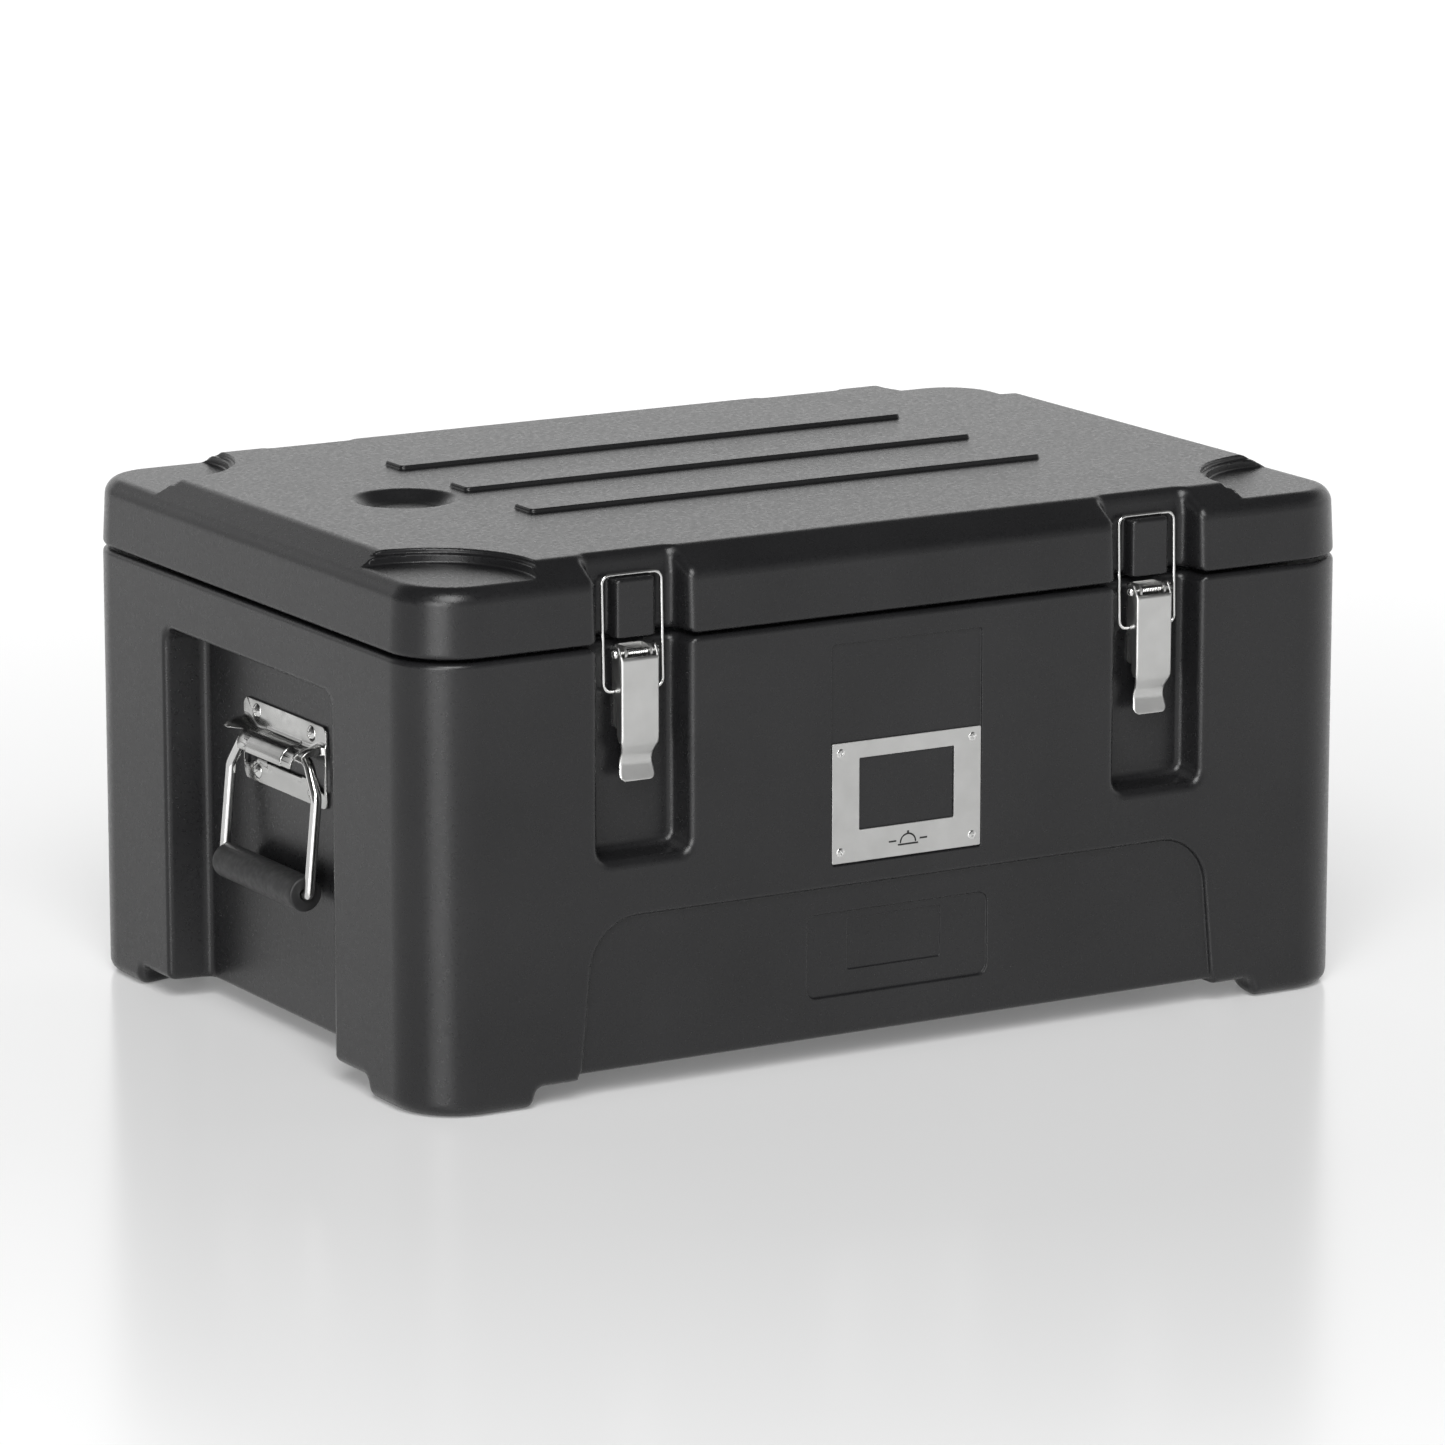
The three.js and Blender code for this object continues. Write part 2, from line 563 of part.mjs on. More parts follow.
function menuPlate() {
  const outline = roundedRect(MENU.width, MENU.top - MENU.bottom, 1.5, 0, (MENU.top + MENU.bottom) / 2);
  const opening = roundedRect(
    MENU_WINDOW.width, MENU_WINDOW.top - MENU_WINDOW.bottom, 1, 0, (MENU_WINDOW.top + MENU_WINDOW.bottom) / 2);
  const back = MENU_FLOOR_Y - CLEARANCE;
  return cut(prismY(outline, back - MENU.thick, back), [
    prismY(opening, back - 5, back + 5),
    ...MENU_SCREW_SPOTS.map(([x, z]) => shankHole(back - 5, back + 5, x, z)),
  ]);
}

// ---- the assembly ----

function piece(name, manifold, look) {
  const mesh = new THREE.Mesh(geometryOf(manifold), new THREE.MeshStandardMaterial(look));
  mesh.name = name;
  return mesh;
}

function standAt(matrix, meshes) {
  const group = new THREE.Group();
  matrix.decompose(group.position, group.quaternion, group.scale);
  return group.add(...meshes);
}

function latch(name) {
  return [
    piece(`latch_${name}_base`, latchBase(), BRUSHED_STEEL),
    piece(`latch_${name}_pin`, latchPin(), BRIGHT_STEEL),
    piece(`latch_${name}_spring`, latchSpring(), BRIGHT_STEEL),
    piece(`latch_${name}_lever`, lever(), BRUSHED_STEEL),
    piece(`latch_${name}_bail`, latchBail(), BRIGHT_STEEL),
    ...RIVET_Z.map((z, i) => piece(`latch_${name}_rivet_${i + 1}`, latchRivet(z), BRIGHT_STEEL)),
  ];
}

function handle(name) {
  return [
    piece(`handle_${name}_plate`, handlePlate(), BRUSHED_STEEL),
    piece(`handle_${name}_bail`, handleBail(), BRIGHT_STEEL),
    piece(`handle_${name}_grip`, handleGrip(), GRIP_RUBBER),
    ...HANDLE_SCREW_SPOTS.map((spot, i) => piece(`handle_${name}_screw_${i + 1}`, handleScrew(spot), BRIGHT_STEEL)),
  ];
}

const carrier = new THREE.Group();
carrier.add(
  piece('body_shell', bodyShell(), BLACK_PLASTIC),
  ...Object.entries(CORNERS).map(([name, [x, y]]) => piece(`foot_${name}`, foot(x, y), BLACK_PLASTIC)),
  piece('body_foam', bodyForm(SKIN + CLEARANCE), FOAM),
  piece('body_fill_plug', fillPlug(MID_UNDERSIDE_Z), BLACK_PLASTIC),
  piece('lid_shell', lidShell(), BLACK_PLASTIC),
  piece('lid_foam', lidForm(SKIN + CLEARANCE), FOAM),
  piece('lid_fill_plug', fillPlug(LID_PLUG.bottom), BLACK_PLASTIC),
  piece('lid_seal', sealRing(0, SEAL.bottom, SEAL.top), SILICONE),
  piece('menu_plate', menuPlate(), BRUSHED_STEEL),
  ...MENU_SCREW_SPOTS.map((spot, i) => piece(`menu_screw_${i + 1}`, menuScrew(spot), BRIGHT_STEEL)),
  ...Object.entries(LATCH_PLACES).map(([name, matrix]) => standAt(matrix, latch(name))),
  ...Object.entries(HANDLE_PLACES).map(([name, matrix]) => standAt(matrix, handle(name))),
);

export default carrier;
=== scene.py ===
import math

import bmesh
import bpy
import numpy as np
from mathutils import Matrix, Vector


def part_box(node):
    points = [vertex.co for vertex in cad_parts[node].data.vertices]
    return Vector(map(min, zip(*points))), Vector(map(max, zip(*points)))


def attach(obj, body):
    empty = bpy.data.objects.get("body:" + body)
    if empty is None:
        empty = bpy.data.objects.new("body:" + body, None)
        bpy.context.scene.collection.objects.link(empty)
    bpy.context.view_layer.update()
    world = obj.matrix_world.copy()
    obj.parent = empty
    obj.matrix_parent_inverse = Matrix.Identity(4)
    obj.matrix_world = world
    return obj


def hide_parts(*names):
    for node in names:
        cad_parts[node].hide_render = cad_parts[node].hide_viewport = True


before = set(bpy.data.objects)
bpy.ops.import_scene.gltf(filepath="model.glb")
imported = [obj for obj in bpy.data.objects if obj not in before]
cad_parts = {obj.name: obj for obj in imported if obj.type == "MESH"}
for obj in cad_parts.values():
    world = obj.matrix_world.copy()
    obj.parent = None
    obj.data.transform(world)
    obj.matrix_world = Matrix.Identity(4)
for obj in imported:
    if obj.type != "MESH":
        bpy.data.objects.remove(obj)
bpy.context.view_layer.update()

# Insulated food carrier: rotomoulded body and lid, four toggle latches, two drop handles, a menu plate.
#
# Lengths below are millimetres in the part's own frame: +X along the front, -Y out of the front, +Z up.
# Meshes are scaled to metres as they are made. Moulded and pressed pieces are written as distance
# fields, meshed on a graded grid and pulled exactly onto their surface. Wires are swept tubes.

MM = 0.001

# ---- sizes read from the frame ----
BODY_LOW, BODY_HIGH = (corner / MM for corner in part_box("body_shell"))
LID_LOW, LID_HIGH = (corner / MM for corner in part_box("lid_shell"))
HALF_X, HALF_Y = BODY_HIGH.x, BODY_HIGH.y
BODY_TOP = BODY_HIGH.z
LID_BOTTOM = BODY_TOP + 2.0

# ---- body ----
CORNER_R = 40.0
LIP_R = 3.0
END_UNDERSIDE = BODY_LOW.z
MID_UNDERSIDE = END_UNDERSIDE + 3.0
FOOT = {"r": 72.0, "tread_r": 8.0, "side_r": 5.0, "root_r": 6.0}
WELL = {"x": 252.5, "y": 151.5, "r": 30.0, "floor": 45.0, "floor_r": 15.0}
LEDGE = {"x": 268.0, "y": 165.5, "r": 16.0, "floor": 250.0}
HANDLE_RECESS = {"half": 103.0, "flare": 0.18, "roof": 230.5, "corner_r": 10.0, "floor": 293.0}
LATCH_X = 176.0
LATCH_RECESS = {
    "half": 29.5, "bottom": 139.0, "slope": 0.12, "floor": 200.0, "corner_r": 8.0, "floor_r": 5.0,
    "lip_r": 5.5,
    "splay": 0.04,                      # how fast the sides open out from the floor
    "lean": 0.15, "lean_from": 299.0}   # how fast the floor leans in above this height, in the lid
ARCH = {"foot": 219.0, "top_half": 209.0, "top": 105.5, "r": 28.0, "floor": 216.3}
BADGE = {"x": -3.5, "z": 64.5, "half_x": 62.0, "half_z": 25.0, "r": 6.0, "floor": 214.8}
BADGE_FIELD = {"x": -5.5, "z": 69.5, "half_x": 32.0, "half_z": 15.5, "r": 1.0, "floor": 214.0}
CARD = {"x": 0.0, "z": 184.25, "half_x": 51.5, "half_z": 65.75, "r": 2.0, "floor": 218.5}
PLUG_HOLE = {"r": 10.0, "depth": 2.0}

# ---- lid ----
SHOULDER_Z, PLATEAU = 303.0, 315.0
CHAMFER = 20.0
DRAFT = 0.05
STACK = {"x": 302.0, "y": 194.0, "rim_r": 66.5, "step": 312.0, "r": 63.0, "floor": 307.0}
CUP = {"x": -210.0, "y": 6.0, "rim_r": 31.0, "floor_r": 23.0, "floor": 308.5}
RIB = {"x": 8.0, "half_x": 177.0, "half_y": 11.25, "r": 3.0, "y": (98.0, 16.0, -63.5), "top": LID_HIGH.z}
OPEN_BELOW = -200.0     # a recess bottom so low that the recess runs out through the lid's lower edge
STRIKE = {"half": 13.0, "reach": 210.0, "root": 197.0, "top": 301.0, "r": 3.0}
LID_PLUG = {"x": 264.5, "y": 162.0, "r": 12.0, "bottom": LID_LOW.z}
SEAL_GROOVE = {"x": 286.0, "y": 184.0, "r": 22.0, "half": 4.3, "top": 270.0}

# ---- latches: own X across, "out" from the recess floor, Z up ----
PIN = {"out": 8.5, "z": 257.5, "r": 1.5, "half": 13.2, "head_r": 3.0, "head": 2.6}
LEVER = {"half": 12.7, "thick": 1.4, "face": 15.0, "top": 252.5, "knee": 206.3, "tip": 183.0}
LEVER_FACE = (                          # how far out the lever's face stands at each height
    (LEVER["tip"] - 6, 12.6), (LEVER["tip"], 11.8), (LEVER["knee"] - 13.0, 9.3), (LEVER["knee"] - 9.5, 9.8),
    (LEVER["knee"] - 1, 14.6), (LEVER["knee"] + 3, LEVER["face"]), (300, LEVER["face"]))
BAIL = {
    "half": 19.6, "r": 1.1, "bend": 5.0, "bar_out": 4.0, "bar_z": 302.5, "out": 6.0, "z": 235.3, "end": 10.0}
SPRING = {"turns": 12, "r": 2.15, "wire": 0.42, "half": 7.0}
RIVET = {"z": (219.0, 246.0), "out": 2.1, "r": 3.4, "height": 1.2}

# ---- handles: own U along the end, "out" from the recess floor, Z up ----
PLATE = {"half": 53.0, "bottom": 147.0, "top": 196.5, "r": 5.0, "thick": 1.5, "gap": 0.3}
HOOD = {
    "out": 6.3, "z": 170.6, "r": 9.6, "half": 51.0, "collar": 0.8, "collar_half": 22.0, "flare": 4.5,
    "flared": 48.0, "barrel": 35.0, "edge": 169.6, "end_edge": 180.0}
PLATE_SCREW = {"u": 35.0, "z": (154.0, 190.0), "r": 5.0, "height": 2.2}
HANDLE = {
    "out": 7.5, "z": 175.0, "r": 3.25, "bend": 9.0, "grip_bend": 3.6, "neck": 41.0, "half": 55.0,
    "shoulder": 156.0}
GRIP = {"r": 10.5, "edge_r": 1.4, "bore": 3.6, "half": 51.0, "out": 15.0, "z": 98.0}

# ---- menu plate ----
MENU = {"half": 51.0, "bottom": 119.5, "top": 191.3, "thick": 1.0, "back": 218.8}
WINDOW = {"half": 32.5, "bottom": 138.4, "top": 181.2}
MENU_SCREW = {"x": 45.2, "z": (126.0, 185.2), "r": 2.9, "height": 0.9}
EMBLEM = {"x": 1.0, "z": 127.0, "dome_r": 5.2, "line": 1.0, "depth": 0.35}


# ---- distance fields: above 0 outside a form, below 0 inside ----

def both(a, b, r):
    """What lies in both forms, with the edge between them rounded to radius r."""
    return np.minimum(-r, np.maximum(a, b)) + np.hypot(np.maximum(r + a, 0), np.maximum(r + b, 0))


def either(a, b, r):
    """What lies in one form or the other, with a fillet of radius r between them."""
    return -both(-a, -b, r)


def without(a, b, r):
    """The first form with the second cut out of it, and the rim of the cut rounded to radius r."""
    return both(a, -b, r)


def rounded_rect(x, y, half_x, half_y, r):
    qx, qy = np.abs(x) - half_x + r, np.abs(y) - half_y + r
    outside = np.hypot(np.maximum(qx, 0), np.maximum(qy, 0))
    return outside + np.minimum(np.maximum(qx, qy), 0) - r


def polygon(u, v, corners):
    """Distance to a polygon drawn in u and v."""
    nearest = np.full(np.broadcast(u, v).shape, np.inf)
    inside = np.zeros(nearest.shape, bool)
    for (u0, v0), (u1, v1) in zip(corners, corners[1:] + corners[:1]):
        du, dv = u1 - u0, v1 - v0
        t = np.clip(((u - u0) * du + (v - v0) * dv) / (du * du + dv * dv), 0, 1)
        nearest = np.minimum(nearest, np.hypot(u - u0 - t * du, v - v0 - t * dv))
        if dv:
            crosses = (v0 > v) != (v1 > v)
            inside ^= crosses & (u < u0 + (v - v0) * du / dv)
    return np.where(inside, -nearest, nearest)


def ramp(value, low, high):
    """0 up to low, 1 from high on, and a smooth rise between."""
    t = np.clip((value - low) / (high - low), 0, 1)
    return t * t * (3 - 2 * t)


# ---- meshing a distance field ----

def graded(low, high, bands, coarse, growth=0.3):
    """Grid planes from low to high. A band is (from, to, spacing); the spacing widens away from it."""
    s = np.linspace(low, high, int((high - low) / 0.02) + 1)
    step = np.full(s.shape, float(coarse))
    for start, end, fine in bands:
        away = np.maximum(np.maximum(start - s, s - end), 0)
        step = np.minimum(step, fine + growth * away)
    count = np.concatenate([[0], np.cumsum(np.diff(s) / step[1:])])
    return np.interp(np.linspace(0, count[-1], int(count[-1]) + 2), count, s)


def mirrored(bands):
    """The same bands on both sides of 0."""
    return bands + [(-end, -start, fine) for start, end, fine in bands]


def at(positions, fine):
    """Bands of no width, one at each position."""
    return [(p, p, fine) for p in positions]


def edges(centre, half):
    return [centre - half, centre + half]


def surface_net(form, axes):
    """Points near a form's surface, one in each cell it crosses, and the quads between them."""
    xs, ys, zs = axes
    shape = tuple(len(a) for a in axes)
    field = np.broadcast_to(form(xs[:, None, None], ys[None, :, None], zs[None, None, :]), shape)
    cells = tuple(n - 1 for n in shape)
    ids, spots = [], []
    for axis in range(3):
        u, v = (axis + 1) % 3, (axis + 2) % 3
        here = [slice(None)] * 3
        there = [slice(None)] * 3
        here[axis], there[axis] = slice(None, -1), slice(1, None)
        a, b = field[tuple(here)], field[tuple(there)]
        edge = np.argwhere((a < 0) != (b < 0))
        fa, fb = a[tuple(edge.T)], b[tuple(edge.T)]
        spot = np.stack([axes[k][edge[:, k]] for k in range(3)], 1)
        along = axes[axis][edge[:, axis] + 1] - axes[axis][edge[:, axis]]
        spot[:, axis] += along * fa / (fa - fb)
        quad = []
        for du, dv in ((0, 0), (1, 0), (1, 1), (0, 1)):
            cell = edge.copy()
            cell[:, u] -= du
            cell[:, v] -= dv
            quad.append(np.ravel_multi_index(tuple(cell.T), cells))
        quad = np.stack(quad, 1)
        outwards = fa < 0
        quad[~outwards] = quad[~outwards][:, ::-1]
        ids.append(quad)
        spots.append(spot)
    ids, spots = np.concatenate(ids), np.concatenate(spots)
    _, quads = np.unique(ids.ravel(), return_inverse=True)
    count = np.bincount(quads)
    owners = np.repeat(np.arange(len(ids)), 4)
    points = np.stack([np.bincount(quads, spots[owners, k]) / count for k in range(3)], 1)
    return points, quads.reshape(-1, 4)


def slope(form, points, reach=0.01):
    """The field's gradient at each point."""
    result = np.empty_like(points)
    for k in range(3):
        ahead, behind = points.copy(), points.copy()
        ahead[:, k] += reach
        behind[:, k] -= reach
        result[:, k] = (form(*ahead.T) - form(*behind.T)) / (2 * reach)
    return result


def settle(form, points, rounds=4, most=0.6):
    """Moves points near the surface onto it."""
    for _ in range(rounds):
        g = slope(form, points)
        size = np.maximum((g * g).sum(1), 0.05)
        move = -(form(*points.T) / size)[:, None] * g
        length = np.maximum(np.linalg.norm(move, axis=1), 1e-9)
        points = points + move * np.minimum(1, most / length)[:, None]
    return points


def smooth_by_field(mesh, form, points):
    """Shades the mesh with the field's own directions, so that merged faces still look curved."""
    normals = slope(form, points)
    normals /= np.maximum(np.linalg.norm(normals, axis=1), 1e-9)[:, None]
    mesh.normals_split_custom_set_from_vertices(normals)


def merge_flat_areas(mesh, centres, flat, block=40.0):
    """Merges the quads of flat areas, within blocks of space so that no merged face grows very large.

    While merging, a block is told apart from its neighbours by its material index.
    """
    cell = np.floor(centres / block).astype(int)
    blocks = (cell @ np.array([1, 2, 4])) % 8
    mesh.polygons.foreach_set("material_index", blocks.astype(np.int32))
    bm = bmesh.new()
    bm.from_mesh(mesh)
    bmesh.ops.dissolve_limit(
        bm, angle_limit=math.radians(flat), verts=bm.verts, edges=bm.edges, delimit={"MATERIAL"})
    bm.to_mesh(mesh)
    bm.free()
    mesh.polygons.foreach_set("material_index", np.zeros(len(mesh.polygons), np.int32))
    mesh.validate()


def mesh_of_form(name, form, axes, flat=0.15, rounds=4):
    """A closed mesh of a form, in metres. Flat areas are merged into single faces."""
    points, quads = surface_net(form, axes)
    points = settle(form, points, rounds)
    mesh = bpy.data.meshes.new(name)
    mesh.from_pydata(points.tolist(), [], quads.tolist())
    merge_flat_areas(mesh, points[quads].mean(1), flat)
    mesh.shade_smooth()
    points = np.array([v.co for v in mesh.vertices], float)
    smooth_by_field(mesh, form, points)
    mesh.transform(Matrix.Scale(MM, 4))
    return mesh


# ---- swept wires and turned pieces ----

def bent_path(corners, bend, steps=7):
    """A run of points with each inner corner rounded. A corner is (x, y, z) or (x, y, z, its own bend)."""
    points = [Vector(corners[0][:3])]
    for before, corner, after in zip(corners, corners[1:], corners[2:]):
        radius = corner[3] if len(corner) > 3 else bend
        spot = Vector(corner[:3])
        back = (Vector(before[:3]) - spot).normalized()
        on = (Vector(after[:3]) - spot).normalized()
        half = back.angle(on) / 2
        centre = spot + (back + on).normalized() * (radius / math.sin(half))
        first = spot + back * (radius / math.tan(half)) - centre
        last = spot + on * (radius / math.tan(half)) - centre
        axis = first.cross(last).normalized()
        sweep = first.angle(last)
        for i in range(steps + 1):
            points.append(centre + Matrix.Rotation(sweep * i / steps, 3, axis) @ first)
    points.append(Vector(corners[-1][:3]))
    return points


def tube_mesh(name, path, r, sides=20, end_r=0.4):
    """A round wire along a path of points, in millimetres, with softly rounded ends."""
    tangents = []
    for i, _ in enumerate(path):
        tangents.append((path[min(i + 1, len(path) - 1)] - path[max(i - 1, 0)]).normalized())
    across = tangents[0].orthogonal().normalized()
    rings = []
    for i, (spot, tangent) in enumerate(zip(path, tangents)):
        across = (across - tangent * across.dot(tangent)).normalized()
        rings.append((spot, across.copy(), tangent.cross(across), r))
    first, last = rings[0], rings[-1]
    for t in (0.3, 0.7):        # two smaller rings past each end
        rings.insert(0, (first[0] - tangents[0] * end_r * t, first[1], first[2], r - end_r * t * t * 1.6))
        rings.append((last[0] + tangents[-1] * end_r * t, last[1], last[2], r - end_r * t * t * 1.6))
    verts = []
    for spot, across, up, radius in rings:
        for k in range(sides):
            a = 2 * math.pi * k / sides
            verts.append(spot + (across * math.cos(a) + up * math.sin(a)) * radius)
    faces = []
    for i in range(len(rings) - 1):
        for k in range(sides):
            j = (k + 1) % sides
            faces.append((i * sides + k, i * sides + j, (i + 1) * sides + j, (i + 1) * sides + k))
    faces.append(tuple(range(sides - 1, -1, -1)))
    faces.append(tuple(range((len(rings) - 1) * sides, len(rings) * sides)))
    return finished(name, verts, faces)


def lathe_mesh(name, profile, sides=32):
    """A piece turned about its own X, from (radius, x) points.

    A radius of 0 closes an end. A profile that starts off the axis is a ring, and joins back to its start.
    """
    verts, rings = [], []
    for radius, x in profile:
        if radius == 0:
            rings.append([len(verts)])
            verts.append(Vector((x, 0, 0)))
            continue
        rings.append(list(range(len(verts), len(verts) + sides)))
        for k in range(sides):
            a = 2 * math.pi * k / sides
            verts.append(Vector((x, radius * math.cos(a), radius * math.sin(a))))
    is_bored = profile[0][0] > 0
    following = rings[1:] + rings[:1] if is_bored else rings[1:]
    faces = []
    for low, high in zip(rings, following):
        for k in range(sides):
            j = (k + 1) % sides
            corners = [low[k % len(low)], low[j % len(low)], high[j % len(high)], high[k % len(high)]]
            faces.append(tuple(dict.fromkeys(corners)))
    return finished(name, verts, faces)


def finished(name, verts, faces, crease=40.0):
    """A mesh in metres, with faces turned outwards, smooth except at sharp edges."""
    mesh = bpy.data.meshes.new(name)
    mesh.from_pydata([tuple(v * MM) for v in verts], [], faces)
    bm = bmesh.new()
    bm.from_mesh(mesh)
    bmesh.ops.recalc_face_normals(bm, faces=bm.faces)
    bm.to_mesh(mesh)
    bm.free()
    mesh.shade_smooth()
    mesh.set_sharp_from_angle(angle=math.radians(crease))
    return mesh


def arc_points(cx, cy, r, start, end, steps):
    angles = [math.radians(start + (end - start) * i / steps) for i in range(steps + 1)]
    return [(cx + r * math.cos(a), cy + r * math.sin(a)) for a in angles]


# ---- placing pieces ----

# Turns a piece's own "out" into -Y, the way out of the front.
OUTWARDS = Matrix.Scale(-1, 4, (0, 1, 0))


def shift(x, out, z):
    """A move in millimetres."""
    return Matrix.Translation(Vector((x, out, z)) * MM)


def latch_place(side_x, side_y):
    """From a latch's own (x, out, z) to the frame."""
    turn = Matrix.Rotation(0 if side_y < 0 else math.pi, 4, "Z")
    return shift(side_x * LATCH_X, side_y * LATCH_RECESS["floor"], 0) @ turn @ OUTWARDS


def handle_place(side):
    """From a handle's own (u, out, z) to the frame."""
    turn = Matrix.Rotation(math.radians(90 * side), 4, "Z")
    return shift(side * HANDLE_RECESS["floor"], 0, 0) @ turn @ OUTWARDS


def piece(name, mesh, material, body, replaced=(), place=None):
    """One visible piece: its mesh moved into place, the body it rides on and the nodes it stands for."""
    if place is not None:
        mesh = mesh.copy()
        mesh.transform(place)
        if place.determinant() < 0:
            mesh.flip_normals()
    mesh.materials.clear()
    mesh.materials.append(material)
    obj = bpy.data.objects.new(name, mesh)
    bpy.context.scene.collection.objects.link(obj)
    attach(obj, body)
    if replaced:
        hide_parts(*replaced)
    return obj


# ---- the moulded body ----

def well_form(x, y, z):
    walls = rounded_rect(x, y, WELL["x"], WELL["y"], WELL["r"])
    well = both(walls, WELL["floor"] - z, WELL["floor_r"])
    ledge = both(rounded_rect(x, y, LEDGE["x"], LEDGE["y"], LEDGE["r"]), LEDGE["floor"] - z, 2.0)
    return either(well, ledge, 3.0)


def undercut_form(x, y, z):
    """The space under the body between the quarter-round feet."""
    to_corner = np.hypot(np.abs(x) - HALF_X, np.abs(y) - HALF_Y)
    ends = both(z - END_UNDERSIDE, FOOT["r"] - to_corner, FOOT["root_r"])
    middle = both(z - MID_UNDERSIDE, np.abs(x) - ARCH["foot"], 1.5)
    return either(ends, middle, 1.5)


def handle_recess_form(x, y, z):
    depth = np.abs(x) - HANDLE_RECESS["floor"]
    sides = np.abs(y) - HANDLE_RECESS["half"] - HANDLE_RECESS["flare"] * depth
    opening = both(sides, z - HANDLE_RECESS["roof"], HANDLE_RECESS["corner_r"])
    return both(opening, -depth, 4.0)


def latch_recess_form(x, y, z, bottom):
    lean = LATCH_RECESS["lean"] * np.maximum(z - LATCH_RECESS["lean_from"], 0)
    depth = np.abs(y) - LATCH_RECESS["floor"] + lean
    sides = np.abs(np.abs(x) - LATCH_X) - LATCH_RECESS["half"] - LATCH_RECESS["splay"] * depth
    sill = bottom + LATCH_RECESS["slope"] * (20 - depth) - z
    opening = both(sides, sill, LATCH_RECESS["corner_r"])
    return both(opening, -depth, LATCH_RECESS["floor_r"])


def arch_form(x, y, z):
    lean = (ARCH["foot"] - ARCH["top_half"]) / ARCH["top"]
    sides = (np.abs(x) - ARCH["foot"] + lean * z) / math.hypot(1, lean)
    opening = both(sides, z - ARCH["top"], ARCH["r"])
    return both(opening, ARCH["floor"] - np.abs(y), 1.2)


def front_recess(x, y, z, panel, floor_r):
    outline = rounded_rect(x - panel["x"], z - panel["z"], panel["half_x"], panel["half_z"], panel["r"])
    return both(outline, y + panel["floor"], floor_r)


def plug_hole_form(x, y, z, underside):
    return both(np.hypot(x, y) - PLUG_HOLE["r"], z - underside - PLUG_HOLE["depth"], 0.3)


def body_form(x, y, z):
    walls = rounded_rect(x, y, HALF_X, HALF_Y, CORNER_R)
    form = both(both(walls, -z, FOOT["tread_r"]), z - BODY_TOP, LIP_R)
    form = without(form, undercut_form(x, y, z), FOOT["side_r"])
    form = without(form, handle_recess_form(x, y, z), 3.0)
    form = without(form, latch_recess_form(x, y, z, LATCH_RECESS["bottom"]), LATCH_RECESS["lip_r"])
    form = without(form, arch_form(x, y, z), 3.0)
    form = without(form, front_recess(x, y, z, CARD, 0.6), 0.5)
    form = without(form, front_recess(x, y, z, BADGE, 0.8), 1.0)
    form = without(form, front_recess(x, y, z, BADGE_FIELD, 0.4), 0.4)
    form = without(form, well_form(x, y, z), 2.5)
    return without(form, plug_hole_form(x, y, z, MID_UNDERSIDE), 0.8)


def body_axes():
    """Grid planes for the body: close together at its edges and small roundings, wide across flat walls."""
    x_bands = mirrored(
        at([320, 317, HANDLE_RECESS["floor"], LEDGE["x"], WELL["x"], 246], 1.8)
        + [(280, 320, 3.5), (183, 219, 3.0)]
        + at([ARCH["foot"]] + edges(LATCH_X, LATCH_RECESS["half"]), 1.5)
        + at([CARD["half_x"]], 0.5) + at([PLUG_HOLE["r"]], 1.2))
    x_bands += at(edges(BADGE["x"], BADGE["half_x"]), 0.7)
    x_bands += at(edges(BADGE_FIELD["x"], BADGE_FIELD["half_x"]), 0.5)
    y_bands = mirrored(
        at([LATCH_RECESS["floor"], LEDGE["y"], WELL["y"], 148], 1.8) + [(180, 220, 3.5)]
        + at([105], 1.8) + at([PLUG_HOLE["r"]], 1.2))
    y_bands += [(-220.2, -213.6, 0.42), (215.5, 220.2, 0.6)]
    z_bands = (
        at([0, 8, 15, WELL["floor"], 60], 1.8) + [(78, 105, 3.0)] + at([ARCH["top"]], 1.2)
        + at(edges(BADGE["z"], BADGE["half_z"]), 0.7)
        + at(edges(BADGE_FIELD["z"], BADGE_FIELD["half_z"]) + edges(CARD["z"], CARD["half_z"]), 0.5)
        + at([140, HANDLE_RECESS["roof"], 261.5, 264.5], 1.5))
    return (
        graded(-HALF_X - 3, HALF_X + 3, x_bands, 14),
        graded(-HALF_Y - 3, HALF_Y + 3, y_bands, 14),
        graded(-3, BODY_TOP + 3, z_bands, 14))


# ---- the moulded lid ----

def stack_form(x, y, z):
    """The corner recesses that take the feet of a carrier stacked on top, with a small step round each."""
    from_axis = np.hypot(np.abs(x) - STACK["x"], np.abs(y) - STACK["y"])
    step = both(from_axis - STACK["rim_r"], STACK["step"] - z, 1.0)
    deep = both(from_axis - STACK["r"], STACK["floor"] - z, 1.2)
    return either(step, deep, 0.6)


def cup_form(x, y, z):
    flare = (CUP["rim_r"] - CUP["floor_r"]) / (PLATEAU - CUP["floor"])
    from_axis = np.hypot(x - CUP["x"], y - CUP["y"])
    wall = (from_axis - CUP["floor_r"] - flare * (z - CUP["floor"])) / math.hypot(1, flare)
    return both(wall, CUP["floor"] - z, 1.5)


def strike_form(x, y, z):
    middle, half_y = (STRIKE["reach"] + STRIKE["root"]) / 2, (STRIKE["reach"] - STRIKE["root"]) / 2
    block = rounded_rect(np.abs(x) - LATCH_X, np.abs(y) - middle, STRIKE["half"], half_y, STRIKE["r"])
    return both(both(block, z - STRIKE["top"], 2.5), LID_BOTTOM - z, 1.0)


